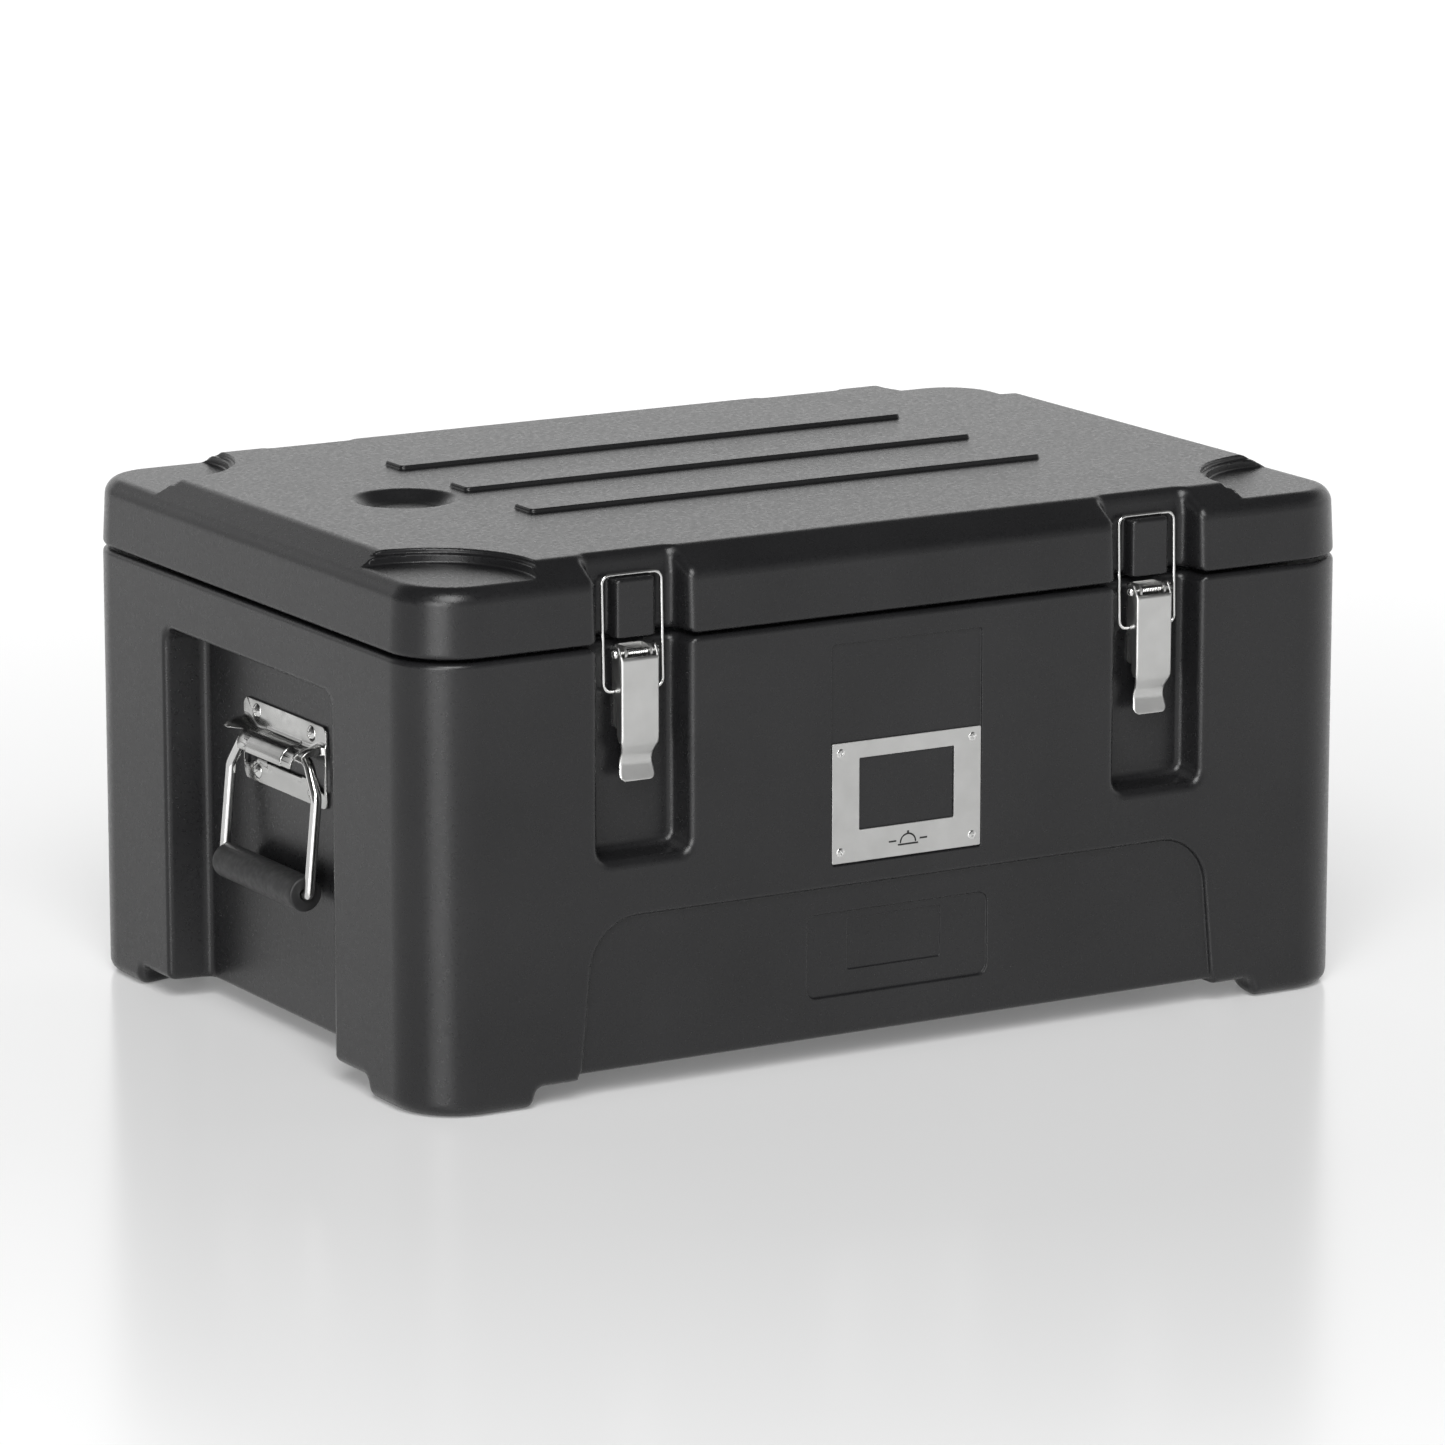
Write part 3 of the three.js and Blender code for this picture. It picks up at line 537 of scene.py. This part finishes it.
def rib_form(x, y, z, rib_y):
    outline = rounded_rect(x - RIB["x"], y - rib_y, RIB["half_x"], RIB["half_y"], RIB["r"])
    return both(both(outline, z - RIB["top"], 1.0), PLATEAU - 3 - z, 0.5)


def seal_groove_form(x, y, z):
    midline = rounded_rect(x, y, SEAL_GROOVE["x"], SEAL_GROOVE["y"], SEAL_GROOVE["r"])
    return both(np.abs(midline) - SEAL_GROOVE["half"], z - SEAL_GROOVE["top"], 0.5)


def lid_form(x, y, z):
    walls = rounded_rect(x, y, HALF_X, HALF_Y, CORNER_R) + DRAFT * (z - LID_BOTTOM)
    rise = PLATEAU - SHOULDER_Z
    chamfer = (walls * rise + (z - SHOULDER_Z) * CHAMFER) / math.hypot(rise, CHAMFER)
    form = both(both(walls, chamfer, 4.5), z - PLATEAU, 1.2)
    form = both(form, LID_BOTTOM - z, LIP_R)
    plug = rounded_rect(x, y, LID_PLUG["x"], LID_PLUG["y"], LID_PLUG["r"])
    plug = both(both(plug, LID_PLUG["bottom"] - z, 3.0), z - LID_BOTTOM - 8, 1.0)
    form = either(form, plug, 2.0)
    form = without(form, stack_form(x, y, z), 0.9)
    form = without(form, latch_recess_form(x, y, z, OPEN_BELOW), LATCH_RECESS["lip_r"])
    form = without(form, cup_form(x, y, z), 1.2)
    for rib_y in RIB["y"]:
        form = either(form, rib_form(x, y, z, rib_y), 1.2)
    form = either(form, strike_form(x, y, z), 2.0)
    form = without(form, seal_groove_form(x, y, z), 0.5)
    return without(form, plug_hole_form(x, y, z, LID_PLUG["bottom"]), 0.8)


def lid_axes():
    """Grid planes for the lid: close together at its edges and small roundings, wide across flat parts."""
    x_bands = mirrored(
        at([320, 300, 290, 282, LID_PLUG["x"], 262], 1.5) + [(228, 320, 3.0)]
        + at(edges(LATCH_X, LATCH_RECESS["half"]) + edges(LATCH_X, STRIKE["half"]), 1.3)
        + at([PLUG_HOLE["r"]], 1.2))
    x_bands += at(edges(RIB["x"], RIB["half_x"]), 0.8)
    x_bands.append((CUP["x"] - CUP["rim_r"], CUP["x"] + CUP["rim_r"], 2.0))
    y_bands = mirrored(
        at([220, STRIKE["reach"], LATCH_RECESS["floor"], 188, 180, LID_PLUG["y"]], 1.3)
        + [(128, 220, 2.6)] + at([PLUG_HOLE["r"]], 1.2))
    for rib_y in RIB["y"]:
        y_bands += at(edges(rib_y, RIB["half_y"]), 0.8)
    y_bands.append((CUP["y"] - CUP["rim_r"] - 2, CUP["y"] + CUP["rim_r"] + 2, 2.2))
    z_bands = (
        at([253, 266.5, SEAL_GROOVE["top"]], 1.0) + at([LATCH_RECESS["lean_from"], SHOULDER_Z], 1.4)
        + [(306, 318, 0.8)])
    return (
        graded(-HALF_X - 3, HALF_X + 3, x_bands, 14),
        graded(-HALF_Y - 3, HALF_Y + 3, y_bands, 14),
        graded(LID_PLUG["bottom"] - 3, RIB["top"] + 3, z_bands, 6))


# ---- latch pieces, in (x, out, z) ----

def lever_face(z):
    """How far out the lever's face stands: flat, an inward step, then a tab that turns out, all blended."""
    heights, outs = zip(*LEVER_FACE)
    blend = (-1.6, -0.8, 0, 0.8, 1.6)
    total = 0
    for offset in blend:
        total = total + np.interp(z + offset, heights, outs)
    return total / len(blend)


def lever_form(x, out, z):
    """A pressed channel, with two ears that hold the pin and the bail, and a tab to pull."""
    face = lever_face(z)
    steep = lever_face(z + 0.5) - lever_face(z - 0.5)
    below = LEVER["knee"] - z
    half = LEVER["half"] - 1.6 * ramp(below, 0, 8) + 0.8 * ramp(below, 12, 20)
    sides = np.abs(x) - half
    skin = both(sides, (out - face) / np.sqrt(1 + steep * steep), 2.0)
    channel = both(skin, -(skin + LEVER["thick"]), 0.3)
    strip = np.maximum(face - LEVER["thick"] - out, z - LEVER["top"])
    flange = polygon(out, z, (
        [(16, LEVER["top"]), (16, LEVER["knee"]), (11, LEVER["knee"]), (9, 210), (9, 227)]
        + arc_points(BAIL["out"], BAIL["z"], 3.0, 270, 150, 6)
        + arc_points(PIN["out"], PIN["z"], 4.3, 180, 60, 8)))
    form = both(channel, np.minimum(strip, flange), 0.3)
    tab = rounded_rect(x, z - (LEVER["tip"] + 50), half, 50, 4.5)
    form = both(form, tab, 0.3)
    for rod in (PIN, BAIL):
        hole = np.hypot(out - rod["out"], z - rod["z"]) - (rod["r"] + 0.2)
        form = without(form, hole, 0.2)
    return form


def lever_mesh():
    axes = (
        graded(-14.5, 14.5, mirrored([(9.5, 13.2, 0.4)]), 1.5),
        graded(1, 17, [(2, 16, 0.5)], 1.0),
        graded(182, 264, [(183, 213, 0.6), (234, 263, 0.6)], 3.0))
    return mesh_of_form("lever", lever_form, axes)


def pin_mesh():
    half, r, head_r, head = PIN["half"], PIN["r"], PIN["head_r"], PIN["head"]
    angles = np.radians([25, 50, 70])
    dome = [(head_r * math.cos(a), half + 0.4 + (head - 0.4) * math.sin(a)) for a in angles]
    right = [(r, half), (head_r - 0.2, half), (head_r, half + 0.2)] + dome + [(0, half + head)]
    left = [(radius, -x) for radius, x in reversed(right)]
    return lathe_mesh("pin", left + right)


def spring_mesh():
    """A coil round the pin with a leg down from each end."""
    r, half = SPRING["r"], SPRING["half"]
    turn_steps = 16
    steps = SPRING["turns"] * turn_steps
    out, z = PIN["out"], PIN["z"]

    def leg(x):
        return [Vector((x, out - 6.0, z - 9)), Vector((x, out - r - 1.5, z - 3))]

    path = leg(-half)
    for i in range(steps + 1):
        a = math.pi + 2 * math.pi * i / turn_steps
        x = -half + 2 * half * i / steps
        path.append(Vector((x, out + r * math.cos(a), z + r * math.sin(a))))
    path += reversed(leg(half))
    return tube_mesh("spring", path, SPRING["wire"], sides=8, end_r=0.1)


def bail_mesh():
    half, out, z, end = BAIL["half"], BAIL["out"], BAIL["z"], BAIL["end"]
    corners = [
        (-end, out, z), (-half, out, z), (-half, BAIL["bar_out"], BAIL["bar_z"]),
        (half, BAIL["bar_out"], BAIL["bar_z"]), (half, out, z), (end, out, z)]
    return tube_mesh("bail", bent_path(corners, BAIL["bend"]), BAIL["r"])


def rivet_mesh():
    """A domed head whose seat is at out = 0."""
    r, height = RIVET["r"], RIVET["height"]
    dome = [(r * math.cos(a), height * math.sin(a)) for a in np.radians([12, 30, 50, 70])]
    return lathe_mesh("rivet", [(0, -0.4), (r - 0.2, -0.4), (r, 0)] + dome + [(0, height)])


# Turned pieces are made about X. These stand them up, along "out" or along Z.
LATHE_TO_OUT = Matrix.Rotation(math.radians(90), 4, "Z")
LATHE_TO_UP = Matrix.Rotation(math.radians(-90), 4, "Y")


# ---- handle pieces, in (u, out, z) ----

def plate_form(u, out, z):
    """A pressed plate whose middle is raised into a hood over the wire, flared at both ends."""
    across = np.abs(u)
    radius = (
        HOOD["r"] + HOOD["collar"] * ramp(-across, -HOOD["collar_half"] - 1, -HOOD["collar_half"])
        + HOOD["flare"] * ramp(across, HOOD["barrel"] - 3, HOOD["flared"]))
    tube = np.hypot(out - HOOD["out"], z - HOOD["z"]) - radius
    tube = both(tube, across - HOOD["half"], 0.8)
    sheet = either(tube, out - PLATE["thick"] - PLATE["gap"], 4.0)
    sheet = both(sheet, -(sheet + PLATE["thick"]), 0.3)
    edge, end_edge = HOOD["edge"], HOOD["end_edge"]
    free_edge = edge + (end_edge - edge) * ramp(across, HOOD["barrel"] - 2, HOOD["barrel"] + 2)
    off_plate = PLATE["thick"] + 0.8 - out
    below = both(z - free_edge, off_plate, 0.3)
    inner = both(both(z - edge - 4.5, out - HANDLE["out"] - 1.5, 0.3), off_plate, 0.3)
    sheet = without(without(sheet, below, 0.3), inner, 0.3)
    middle = (PLATE["top"] + PLATE["bottom"]) / 2
    outline = rounded_rect(u, z - middle, PLATE["half"], (PLATE["top"] - PLATE["bottom"]) / 2, PLATE["r"])
    return both(sheet, outline, 0.4)


def plate_mesh():
    axes = (
        graded(-55, 55, mirrored([(31, 53, 0.6)] + at([22.5], 0.4)), 2.5),
        graded(-1, 22, [(0, 3, 0.3), (3, 20, 0.5)], 1.0),
        graded(145, 199, [(163, 192, 0.5)] + at([147, 196.5], 0.4), 2.5))
    return mesh_of_form("plate", plate_form, axes, rounds=6)


def cross_head_form(r, height, slot):
    """A domed screw head with a cross recess; its seat is at out = 0."""
    ball = (r * r + height * height) / (2 * height)

    def form(x, out, z):
        dome = np.sqrt(x * x + z * z + (out - height + ball) ** 2) - ball
        head = both(both(dome, np.hypot(x, z) - r + 0.1, 0.2), -0.4 - out, 0.1)
        turned_x, turned_z = x * 0.94 + z * 0.34, z * 0.94 - x * 0.34
        arm = np.minimum(
            rounded_rect(turned_x, turned_z, r * 0.55, slot / 2, 0.1),
            rounded_rect(turned_x, turned_z, slot / 2, r * 0.55, 0.1))
        sunk = np.maximum(arm, height * 0.35 + 0.25 * np.hypot(x, z) - out)
        return without(head, sunk, 0.08)

    return form


def screw_mesh(r, height, slot, step):
    axes = (
        graded(-r - 0.5, r + 0.5, [(-r, r, step)], 1),
        graded(-0.8, height + 0.5, [(-0.5, height, step)], 1),
        graded(-r - 0.5, r + 0.5, [(-r, r, step)], 1))
    return mesh_of_form("screw", cross_head_form(r, height, slot), axes)


def handle_wire_mesh():
    """A loop whose ends meet inside the hood: out to a shoulder on each side, then down to the grip."""
    top, low = HANDLE["out"], GRIP["out"]
    z0, z1 = HANDLE["z"], GRIP["z"]
    neck, half = HANDLE["neck"], HANDLE["half"]
    shoulder = top + (low - top) * (z0 - HANDLE["shoulder"]) / (z0 - z1)

    def leg(side):
        return [
            (side * neck, top, z0), (side * half, shoulder, HANDLE["shoulder"]),
            (side * half, low, z1, HANDLE["grip_bend"])]

    corners = [(0.5, top, z0)] + leg(1) + leg(-1)[::-1] + [(-0.5, top, z0)]
    return tube_mesh("wire", bent_path(corners, HANDLE["bend"]), HANDLE["r"], sides=24)


def grip_mesh():
    half, r, bore, edge_r = GRIP["half"], GRIP["r"], GRIP["bore"], GRIP["edge_r"]
    angles = np.radians([90, 67, 45, 22, 0])
    edge = [(r - edge_r + edge_r * math.sin(a), half - edge_r + edge_r * math.cos(a)) for a in angles]
    right = [(r, half - 6)] + edge + [(bore + 1.2, half), (bore + 0.4, half - 0.3), (bore, half - 1.0)]
    left = [(radius, -x) for radius, x in reversed(right)]
    return lathe_mesh("grip", left + right, sides=48)


# ---- menu plate ----

def emblem_form(x, z):
    """A dish under a domed cover, between two short rules."""
    x, z = x - EMBLEM["x"], z - EMBLEM["z"]
    line, r = EMBLEM["line"] / 2, EMBLEM["dome_r"]
    dome = np.maximum(np.abs(np.hypot(x, z) - r) - line, -z)
    knob = np.hypot(x, z - r - 1.1) - 0.8
    dish = rounded_rect(x, z + 0.9, r + 1.8, line, 0.2)
    rules = rounded_rect(np.abs(x) - 10.6, z - 1.6, 2.6, line, 0.2)
    return np.minimum(np.minimum(dome, knob), np.minimum(dish, rules))


def menu_form(x, y, z):
    middle = (MENU["top"] + MENU["bottom"]) / 2
    outline = rounded_rect(x, z - middle, MENU["half"], (MENU["top"] - MENU["bottom"]) / 2, 1.0)
    window_z = (WINDOW["top"] + WINDOW["bottom"]) / 2
    window = rounded_rect(x, z - window_z, WINDOW["half"], (WINDOW["top"] - WINDOW["bottom"]) / 2, 0.6)
    face = -y - MENU["back"] - MENU["thick"]
    sheet = both(np.maximum(face, MENU["back"] + y), np.maximum(outline, -window), 0.2)
    engraved = np.maximum(emblem_form(x, z), -face - EMBLEM["depth"])
    return np.maximum(sheet, -engraved)


def menu_mesh():
    face = -MENU["back"] - MENU["thick"]
    axes = (
        graded(-53, 53, mirrored(at([51, 32], 0.3)) + [(-13.5, 15, 0.22)], 6),
        graded(face - 0.5, -MENU["back"] + 0.5, [(face, face + 0.5, 0.12)], 0.3),
        graded(118, 193, at([119.5, 139, 181, 191.3], 0.3) + [(125, 134.5, 0.22)], 6))
    return mesh_of_form("menu", menu_form, axes)


# ---- materials ----

# A mix node has a set of sockets for each kind of data, with the same names, so they go by number.
MIX_FACTOR, MIX_A, MIX_B, MIX_RESULT = 0, 6, 7, 2


class Finish:
    """A node material: a principled shader with textures mapped in object space."""

    def __init__(self, name, color, **sockets):
        self.material = bpy.data.materials.new(name)
        self.material.use_nodes = True
        self.tree = self.material.node_tree
        self.shader = self.tree.nodes["Principled BSDF"]
        self.shader.inputs["Base Color"].default_value = (*color, 1)
        for socket, value in sockets.items():
            self.shader.inputs[socket.replace("_", " ")].default_value = value
        self.coords = self.tree.nodes.new("ShaderNodeTexCoord")
        self.last_bump = None

    def link(self, out, into):
        self.tree.links.new(out, into)

    def noise(self, scale, detail=2.0, stretch=(1, 1, 1), roughness=0.5):
        mapping = self.tree.nodes.new("ShaderNodeMapping")
        mapping.inputs["Scale"].default_value = stretch
        texture = self.tree.nodes.new("ShaderNodeTexNoise")
        texture.inputs["Scale"].default_value = scale
        texture.inputs["Detail"].default_value = detail
        texture.inputs["Roughness"].default_value = roughness
        self.link(self.coords.outputs["Object"], mapping.inputs["Vector"])
        self.link(mapping.outputs["Vector"], texture.inputs["Vector"])
        return texture.outputs["Fac"]

    def spread(self, value, low, high, start=0.3, end=0.7):
        node = self.tree.nodes.new("ShaderNodeMapRange")
        for socket, number in {"From Min": start, "From Max": end, "To Min": low, "To Max": high}.items():
            node.inputs[socket].default_value = number
        self.link(value, node.inputs["Value"])
        return node.outputs["Result"]

    def bump(self, height, distance, strength=1.0):
        node = self.tree.nodes.new("ShaderNodeBump")
        node.inputs["Distance"].default_value = distance
        node.inputs["Strength"].default_value = strength
        self.link(height, node.inputs["Height"])
        if self.last_bump:
            self.link(self.last_bump, node.inputs["Normal"])
        self.last_bump = node.outputs["Normal"]
        self.link(self.last_bump, self.shader.inputs["Normal"])

    def tint(self, value, dark, light):
        node = self.tree.nodes.new("ShaderNodeMix")
        node.data_type = "RGBA"
        node.inputs[MIX_A].default_value = (*dark, 1)
        node.inputs[MIX_B].default_value = (*light, 1)
        self.link(value, node.inputs[MIX_FACTOR])
        self.link(node.outputs[MIX_RESULT], self.shader.inputs["Base Color"])

    def roughness(self, value):
        self.link(value, self.shader.inputs["Roughness"])


def moulded_plastic():
    finish = Finish("moulded_plastic", (0.012, 0.012, 0.0125), Specular_IOR_Level=0.45)
    broad = finish.noise(14, 3)
    finish.tint(finish.spread(broad, 0, 1), (0.0095, 0.0095, 0.0102), (0.013, 0.013, 0.0138))
    finish.roughness(finish.spread(finish.noise(420, 3), 0.25, 0.36))
    finish.bump(finish.noise(900, 2), 0.00022, 0.25)
    finish.bump(finish.noise(2600, 2), 0.00008, 0.4)
    finish.bump(finish.noise(9, 1), 0.0012, 0.25)
    return finish.material


def brushed_steel(name, stretch):
    finish = Finish(name, (0.62, 0.62, 0.61), Metallic=1.0)
    grain = finish.noise(260, 4, stretch)
    broad = finish.noise(60, 3)
    finish.tint(finish.spread(broad, 0, 1), (0.59, 0.59, 0.58), (0.65, 0.65, 0.64))
    finish.roughness(finish.spread(grain, 0.3, 0.42))
    finish.bump(grain, 0.00002, 0.6)
    return finish.material


def bright_steel():
    finish = Finish("bright_steel", (0.72, 0.72, 0.71), Metallic=1.0)
    finish.roughness(finish.spread(finish.noise(300, 3), 0.1, 0.2))
    finish.bump(finish.noise(180, 2), 0.00006, 0.4)
    return finish.material


def pressed_steel():
    finish = Finish("pressed_steel", (0.54, 0.54, 0.53), Metallic=1.0)
    finish.roughness(finish.spread(finish.noise(160, 3), 0.16, 0.27))
    finish.bump(finish.noise(120, 2), 0.00008, 0.4)
    return finish.material


def soft_rubber(name, dark, light, grain):
    finish = Finish(name, dark)
    finish.tint(finish.spread(finish.noise(50, 2), 0, 1), dark, light)
    finish.roughness(finish.spread(finish.noise(300, 2), 0.42, 0.6))
    finish.bump(finish.noise(grain, 2), 0.00006, 0.5)
    return finish.material


def foam_core():
    finish = Finish("foam_core", (0.7, 0.6, 0.36))
    cells = finish.noise(500, 3)
    finish.tint(finish.spread(cells, 0, 1), (0.6, 0.5, 0.28), (0.78, 0.69, 0.44))
    finish.roughness(finish.spread(cells, 0.8, 0.95))
    finish.bump(cells, 0.0004)
    return finish.material


def engraving_fill():
    finish = Finish("engraving_fill", (0.012, 0.012, 0.012))
    finish.roughness(finish.spread(finish.noise(800, 2), 0.45, 0.65))
    return finish.material


# ---- building ----

def build_body(plastic):
    feet = [f"foot_{end}_{side}" for end in ("front", "rear") for side in ("left", "right")]
    body = mesh_of_form("body", body_form, body_axes())
    lid = mesh_of_form("lid", lid_form, lid_axes())
    piece("body", body, plastic, "carrier", ["body_shell"] + feet)
    piece("lid", lid, plastic, "lid", ["lid_shell"])


def build_fill_plugs(plastic):
    """A disc with a ring-shaped groove, let into the underside of the body and of the lid."""
    profile = [
        (0, 0.2), (3.0, 0.2), (3.4, 0.5), (6.2, 0.5), (6.6, 0.2), (9.2, 0.2), (9.7, 0.7), (9.7, 1.9),
        (0, 1.9)]
    plug = lathe_mesh("plug", profile, 48)
    undersides = {"body_fill_plug": ("carrier", MID_UNDERSIDE), "lid_fill_plug": ("lid", LID_PLUG["bottom"])}
    for node, (body, z) in undersides.items():
        place = shift(0, 0, z) @ LATHE_TO_UP
        piece(f"{node}_face", plug, plastic, body, [node], place)


LATCH_SIDES = {"front_left": (-1, -1), "front_right": (1, -1), "rear_left": (-1, 1), "rear_right": (1, 1)}


def build_latches(steel, bright):
    lever, bail, pin, spring, rivet = lever_mesh(), bail_mesh(), pin_mesh(), spring_mesh(), rivet_mesh()
    for corner, sides in LATCH_SIDES.items():
        place = latch_place(*sides)
        node = f"latch_{corner}"
        on_pin = place @ shift(0, PIN["out"], PIN["z"])
        piece(f"{node}_handle", lever, steel, f"lever_{corner}", [f"{node}_lever"], place)
        piece(f"{node}_wire", bail, bright, f"bail_{corner}", [f"{node}_bail"], place)
        piece(f"{node}_axle", pin, bright, "carrier", [f"{node}_pin"], on_pin)
        piece(f"{node}_coil", spring, bright, "carrier", [f"{node}_spring"], place)
        for i, z in enumerate(RIVET["z"], 1):
            seat = place @ shift(0, RIVET["out"], z) @ LATHE_TO_OUT
            piece(f"{node}_dome_{i}", rivet, bright, "carrier", [f"{node}_rivet_{i}"], seat)


def build_handles(pressed, bright, rubber):
    plate, wire, grip = plate_mesh(), handle_wire_mesh(), grip_mesh()
    screw = screw_mesh(PLATE_SCREW["r"], PLATE_SCREW["height"], 1.2, 0.2)
    spots = [(u, z) for u in (-PLATE_SCREW["u"], PLATE_SCREW["u"]) for z in PLATE_SCREW["z"]]
    for name, side in (("left", -1), ("right", 1)):
        place = handle_place(side)
        node = f"handle_{name}"
        on_wire = place @ shift(0, GRIP["out"], GRIP["z"])
        piece(f"{node}_pressing", plate, pressed, "carrier", [f"{node}_plate"], place)
        piece(f"{node}_wire", wire, bright, node, [f"{node}_bail"], place)
        piece(f"{node}_sleeve", grip, rubber, node, [f"{node}_grip"], on_wire)
        for i, (u, z) in enumerate(spots, 1):
            seat = place @ shift(u, PLATE["thick"] + PLATE["gap"], z)
            piece(f"{node}_head_{i}", screw, bright, "carrier", [f"{node}_screw_{i}"], seat)


def fill_engraving(plate, fill):
    """Gives the floor of the engraved emblem its dark fill."""
    plate.data.materials.append(fill)
    face = -(MENU["back"] + MENU["thick"])
    for facet in plate.data.polygons:
        spot = np.array(facet.center, float) / MM
        is_sunk = face + 0.1 < spot[1] < face + 0.6
        if is_sunk and emblem_form(spot[0], spot[2]) < 0.15:
            facet.material_index = 1


def build_menu(steel, bright, fill):
    plate = piece("menu_frame", menu_mesh(), steel, "carrier", ["menu_plate"])
    fill_engraving(plate, fill)
    screw = screw_mesh(MENU_SCREW["r"], MENU_SCREW["height"], 0.7, 0.14)
    spots = [(x, z) for x in (-MENU_SCREW["x"], MENU_SCREW["x"]) for z in MENU_SCREW["z"]]
    for i, (x, z) in enumerate(spots, 1):
        seat = shift(x, -MENU["back"] - MENU["thick"], z) @ OUTWARDS
        piece(f"menu_head_{i}", screw, bright, "carrier", [f"menu_screw_{i}"], seat)


def finish_cad_nodes(finishes):
    """Gives the CAD nodes that stay visible their materials, by the last part of their names."""
    for name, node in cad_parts.items():
        for ending, material in finishes.items():
            if name.endswith(ending):
                node.data.materials.clear()
                node.data.materials.append(material)


# ---- stage, light and camera ----

# From here on, places and sizes are in metres.

# The floor gives a little light of its own, more of it away from the carrier.
FLOOR_GLOW = {"near": 0.15, "far": 0.4, "reach": (0.55, 2.2)}


def build_stage():
    bpy.ops.mesh.primitive_plane_add(size=60, location=(0, 0, -0.0005))
    floor = bpy.context.object
    floor.name = "floor"
    finish = Finish("floor", (0.86, 0.86, 0.86), Roughness=0.2, Specular_IOR_Level=0.4)
    finish.shader.inputs["Emission Color"].default_value = (1, 1, 1, 1)
    distance = finish.tree.nodes.new("ShaderNodeVectorMath")
    distance.operation = "LENGTH"
    finish.link(finish.coords.outputs["Object"], distance.inputs[0])
    near, far = FLOOR_GLOW["near"], FLOOR_GLOW["far"]
    glow = finish.spread(distance.outputs["Value"], near, far, *FLOOR_GLOW["reach"])
    finish.link(glow, finish.shader.inputs["Emission Strength"])
    floor.data.materials.append(finish.material)


# Along each axis the studio's brightness goes from one value to another: (axis, from, to, value, value).
STUDIO_SHADES = (
    ("X", -0.75, -0.1, 0.12, 1.0),
    ("Y", -0.9, 0.2, 0.4, 1.15),
    ("Z", 0.27, 0.62, 1.0, 0.08))


def build_world():
    """A white studio, bright near the horizon behind the carrier and dark overhead."""
    world = bpy.data.worlds.new("studio")
    bpy.context.scene.world = world
    world.use_nodes = True
    tree = world.node_tree
    background = tree.nodes["Background"]
    background.inputs["Color"].default_value = (1, 1, 1, 1)
    coords = tree.nodes.new("ShaderNodeTexCoord")
    split = tree.nodes.new("ShaderNodeSeparateXYZ")
    tree.links.new(coords.outputs["Generated"], split.inputs["Vector"])
    shades = []
    for axis, low, high, at_low, at_high in STUDIO_SHADES:
        shade = tree.nodes.new("ShaderNodeMapRange")
        shade.interpolation_type = "SMOOTHSTEP"
        ends = {"From Min": low, "From Max": high, "To Min": at_low, "To Max": at_high}
        for socket, number in ends.items():
            shade.inputs[socket].default_value = number
        tree.links.new(split.outputs[axis], shade.inputs["Value"])
        shades.append(shade.outputs["Result"])
    strength = shades[0]
    for shade in shades[1:]:
        product = tree.nodes.new("ShaderNodeMath")
        product.operation = "MULTIPLY"
        tree.links.new(strength, product.inputs[0])
        tree.links.new(shade, product.inputs[1])
        strength = product.outputs["Value"]
    tree.links.new(strength, background.inputs["Strength"])


KEY = {"direction": (0.35, 0.6, -0.7), "strength": 2.2, "softness": 35}
LEFT_STRIP = {"spot": (-2.5, -2.1, 0.8), "target": (-0.3, -0.2, 0.15), "size": (1.7, 1.2), "power": 46}
CAMERA = {
    "spot": (-2.20337, -3.75105, 1.12081), "target": (0.00443, 0.0, 0.15622), "lens": 182.2, "sensor": 36.0}


def add_to_scene(name, data, direction, spot=(0, 0, 0)):
    """A light or camera at a spot, looking along a direction."""
    obj = bpy.data.objects.new(name, data)
    obj.location = spot
    obj.rotation_euler = direction.to_track_quat("-Z", "Y").to_euler()
    bpy.context.scene.collection.objects.link(obj)
    return obj


def build_lights():
    """A very soft sun from the front left, and a large panel low on the left for the carrier's end."""
    sun = bpy.data.lights.new("key", "SUN")
    sun.energy = KEY["strength"]
    sun.angle = math.radians(KEY["softness"])
    add_to_scene("key", sun, Vector(KEY["direction"]))
    strip = bpy.data.lights.new("left_strip", "AREA")
    strip.energy = LEFT_STRIP["power"]
    strip.shape = "RECTANGLE"
    strip.size, strip.size_y = LEFT_STRIP["size"]
    spot = Vector(LEFT_STRIP["spot"])
    add_to_scene("left_strip", strip, Vector(LEFT_STRIP["target"]) - spot, spot)


def build_camera():
    data = bpy.data.cameras.new("camera")
    data.lens = CAMERA["lens"]
    data.sensor_width = CAMERA["sensor"]
    data.clip_end = 200
    spot = Vector(CAMERA["spot"])
    bpy.context.scene.camera = add_to_scene("camera", data, Vector(CAMERA["target"]) - spot, spot)


def main():
    build_camera()
    build_world()
    build_lights()
    build_stage()
    plastic, bright = moulded_plastic(), bright_steel()
    upright_steel = brushed_steel("brushed_steel_upright", (8, 8, 0.4))
    flat_steel = brushed_steel("brushed_steel_level", (0.4, 8, 8))
    build_body(plastic)
    build_fill_plugs(plastic)
    build_latches(upright_steel, bright)
    grip_rubber = soft_rubber("grip_rubber", (0.014, 0.014, 0.0145), (0.022, 0.022, 0.0225), 700)
    build_handles(pressed_steel(), bright, grip_rubber)
    build_menu(flat_steel, bright, engraving_fill())
    silicone = soft_rubber("seal_silicone", (0.2, 0.21, 0.22), (0.25, 0.26, 0.27), 500)
    finish_cad_nodes({"_foam": foam_core(), "_base": upright_steel, "_seal": silicone})
    bpy.context.scene.view_settings.view_transform = "Standard"


main()
bpy.context.view_layer.update()
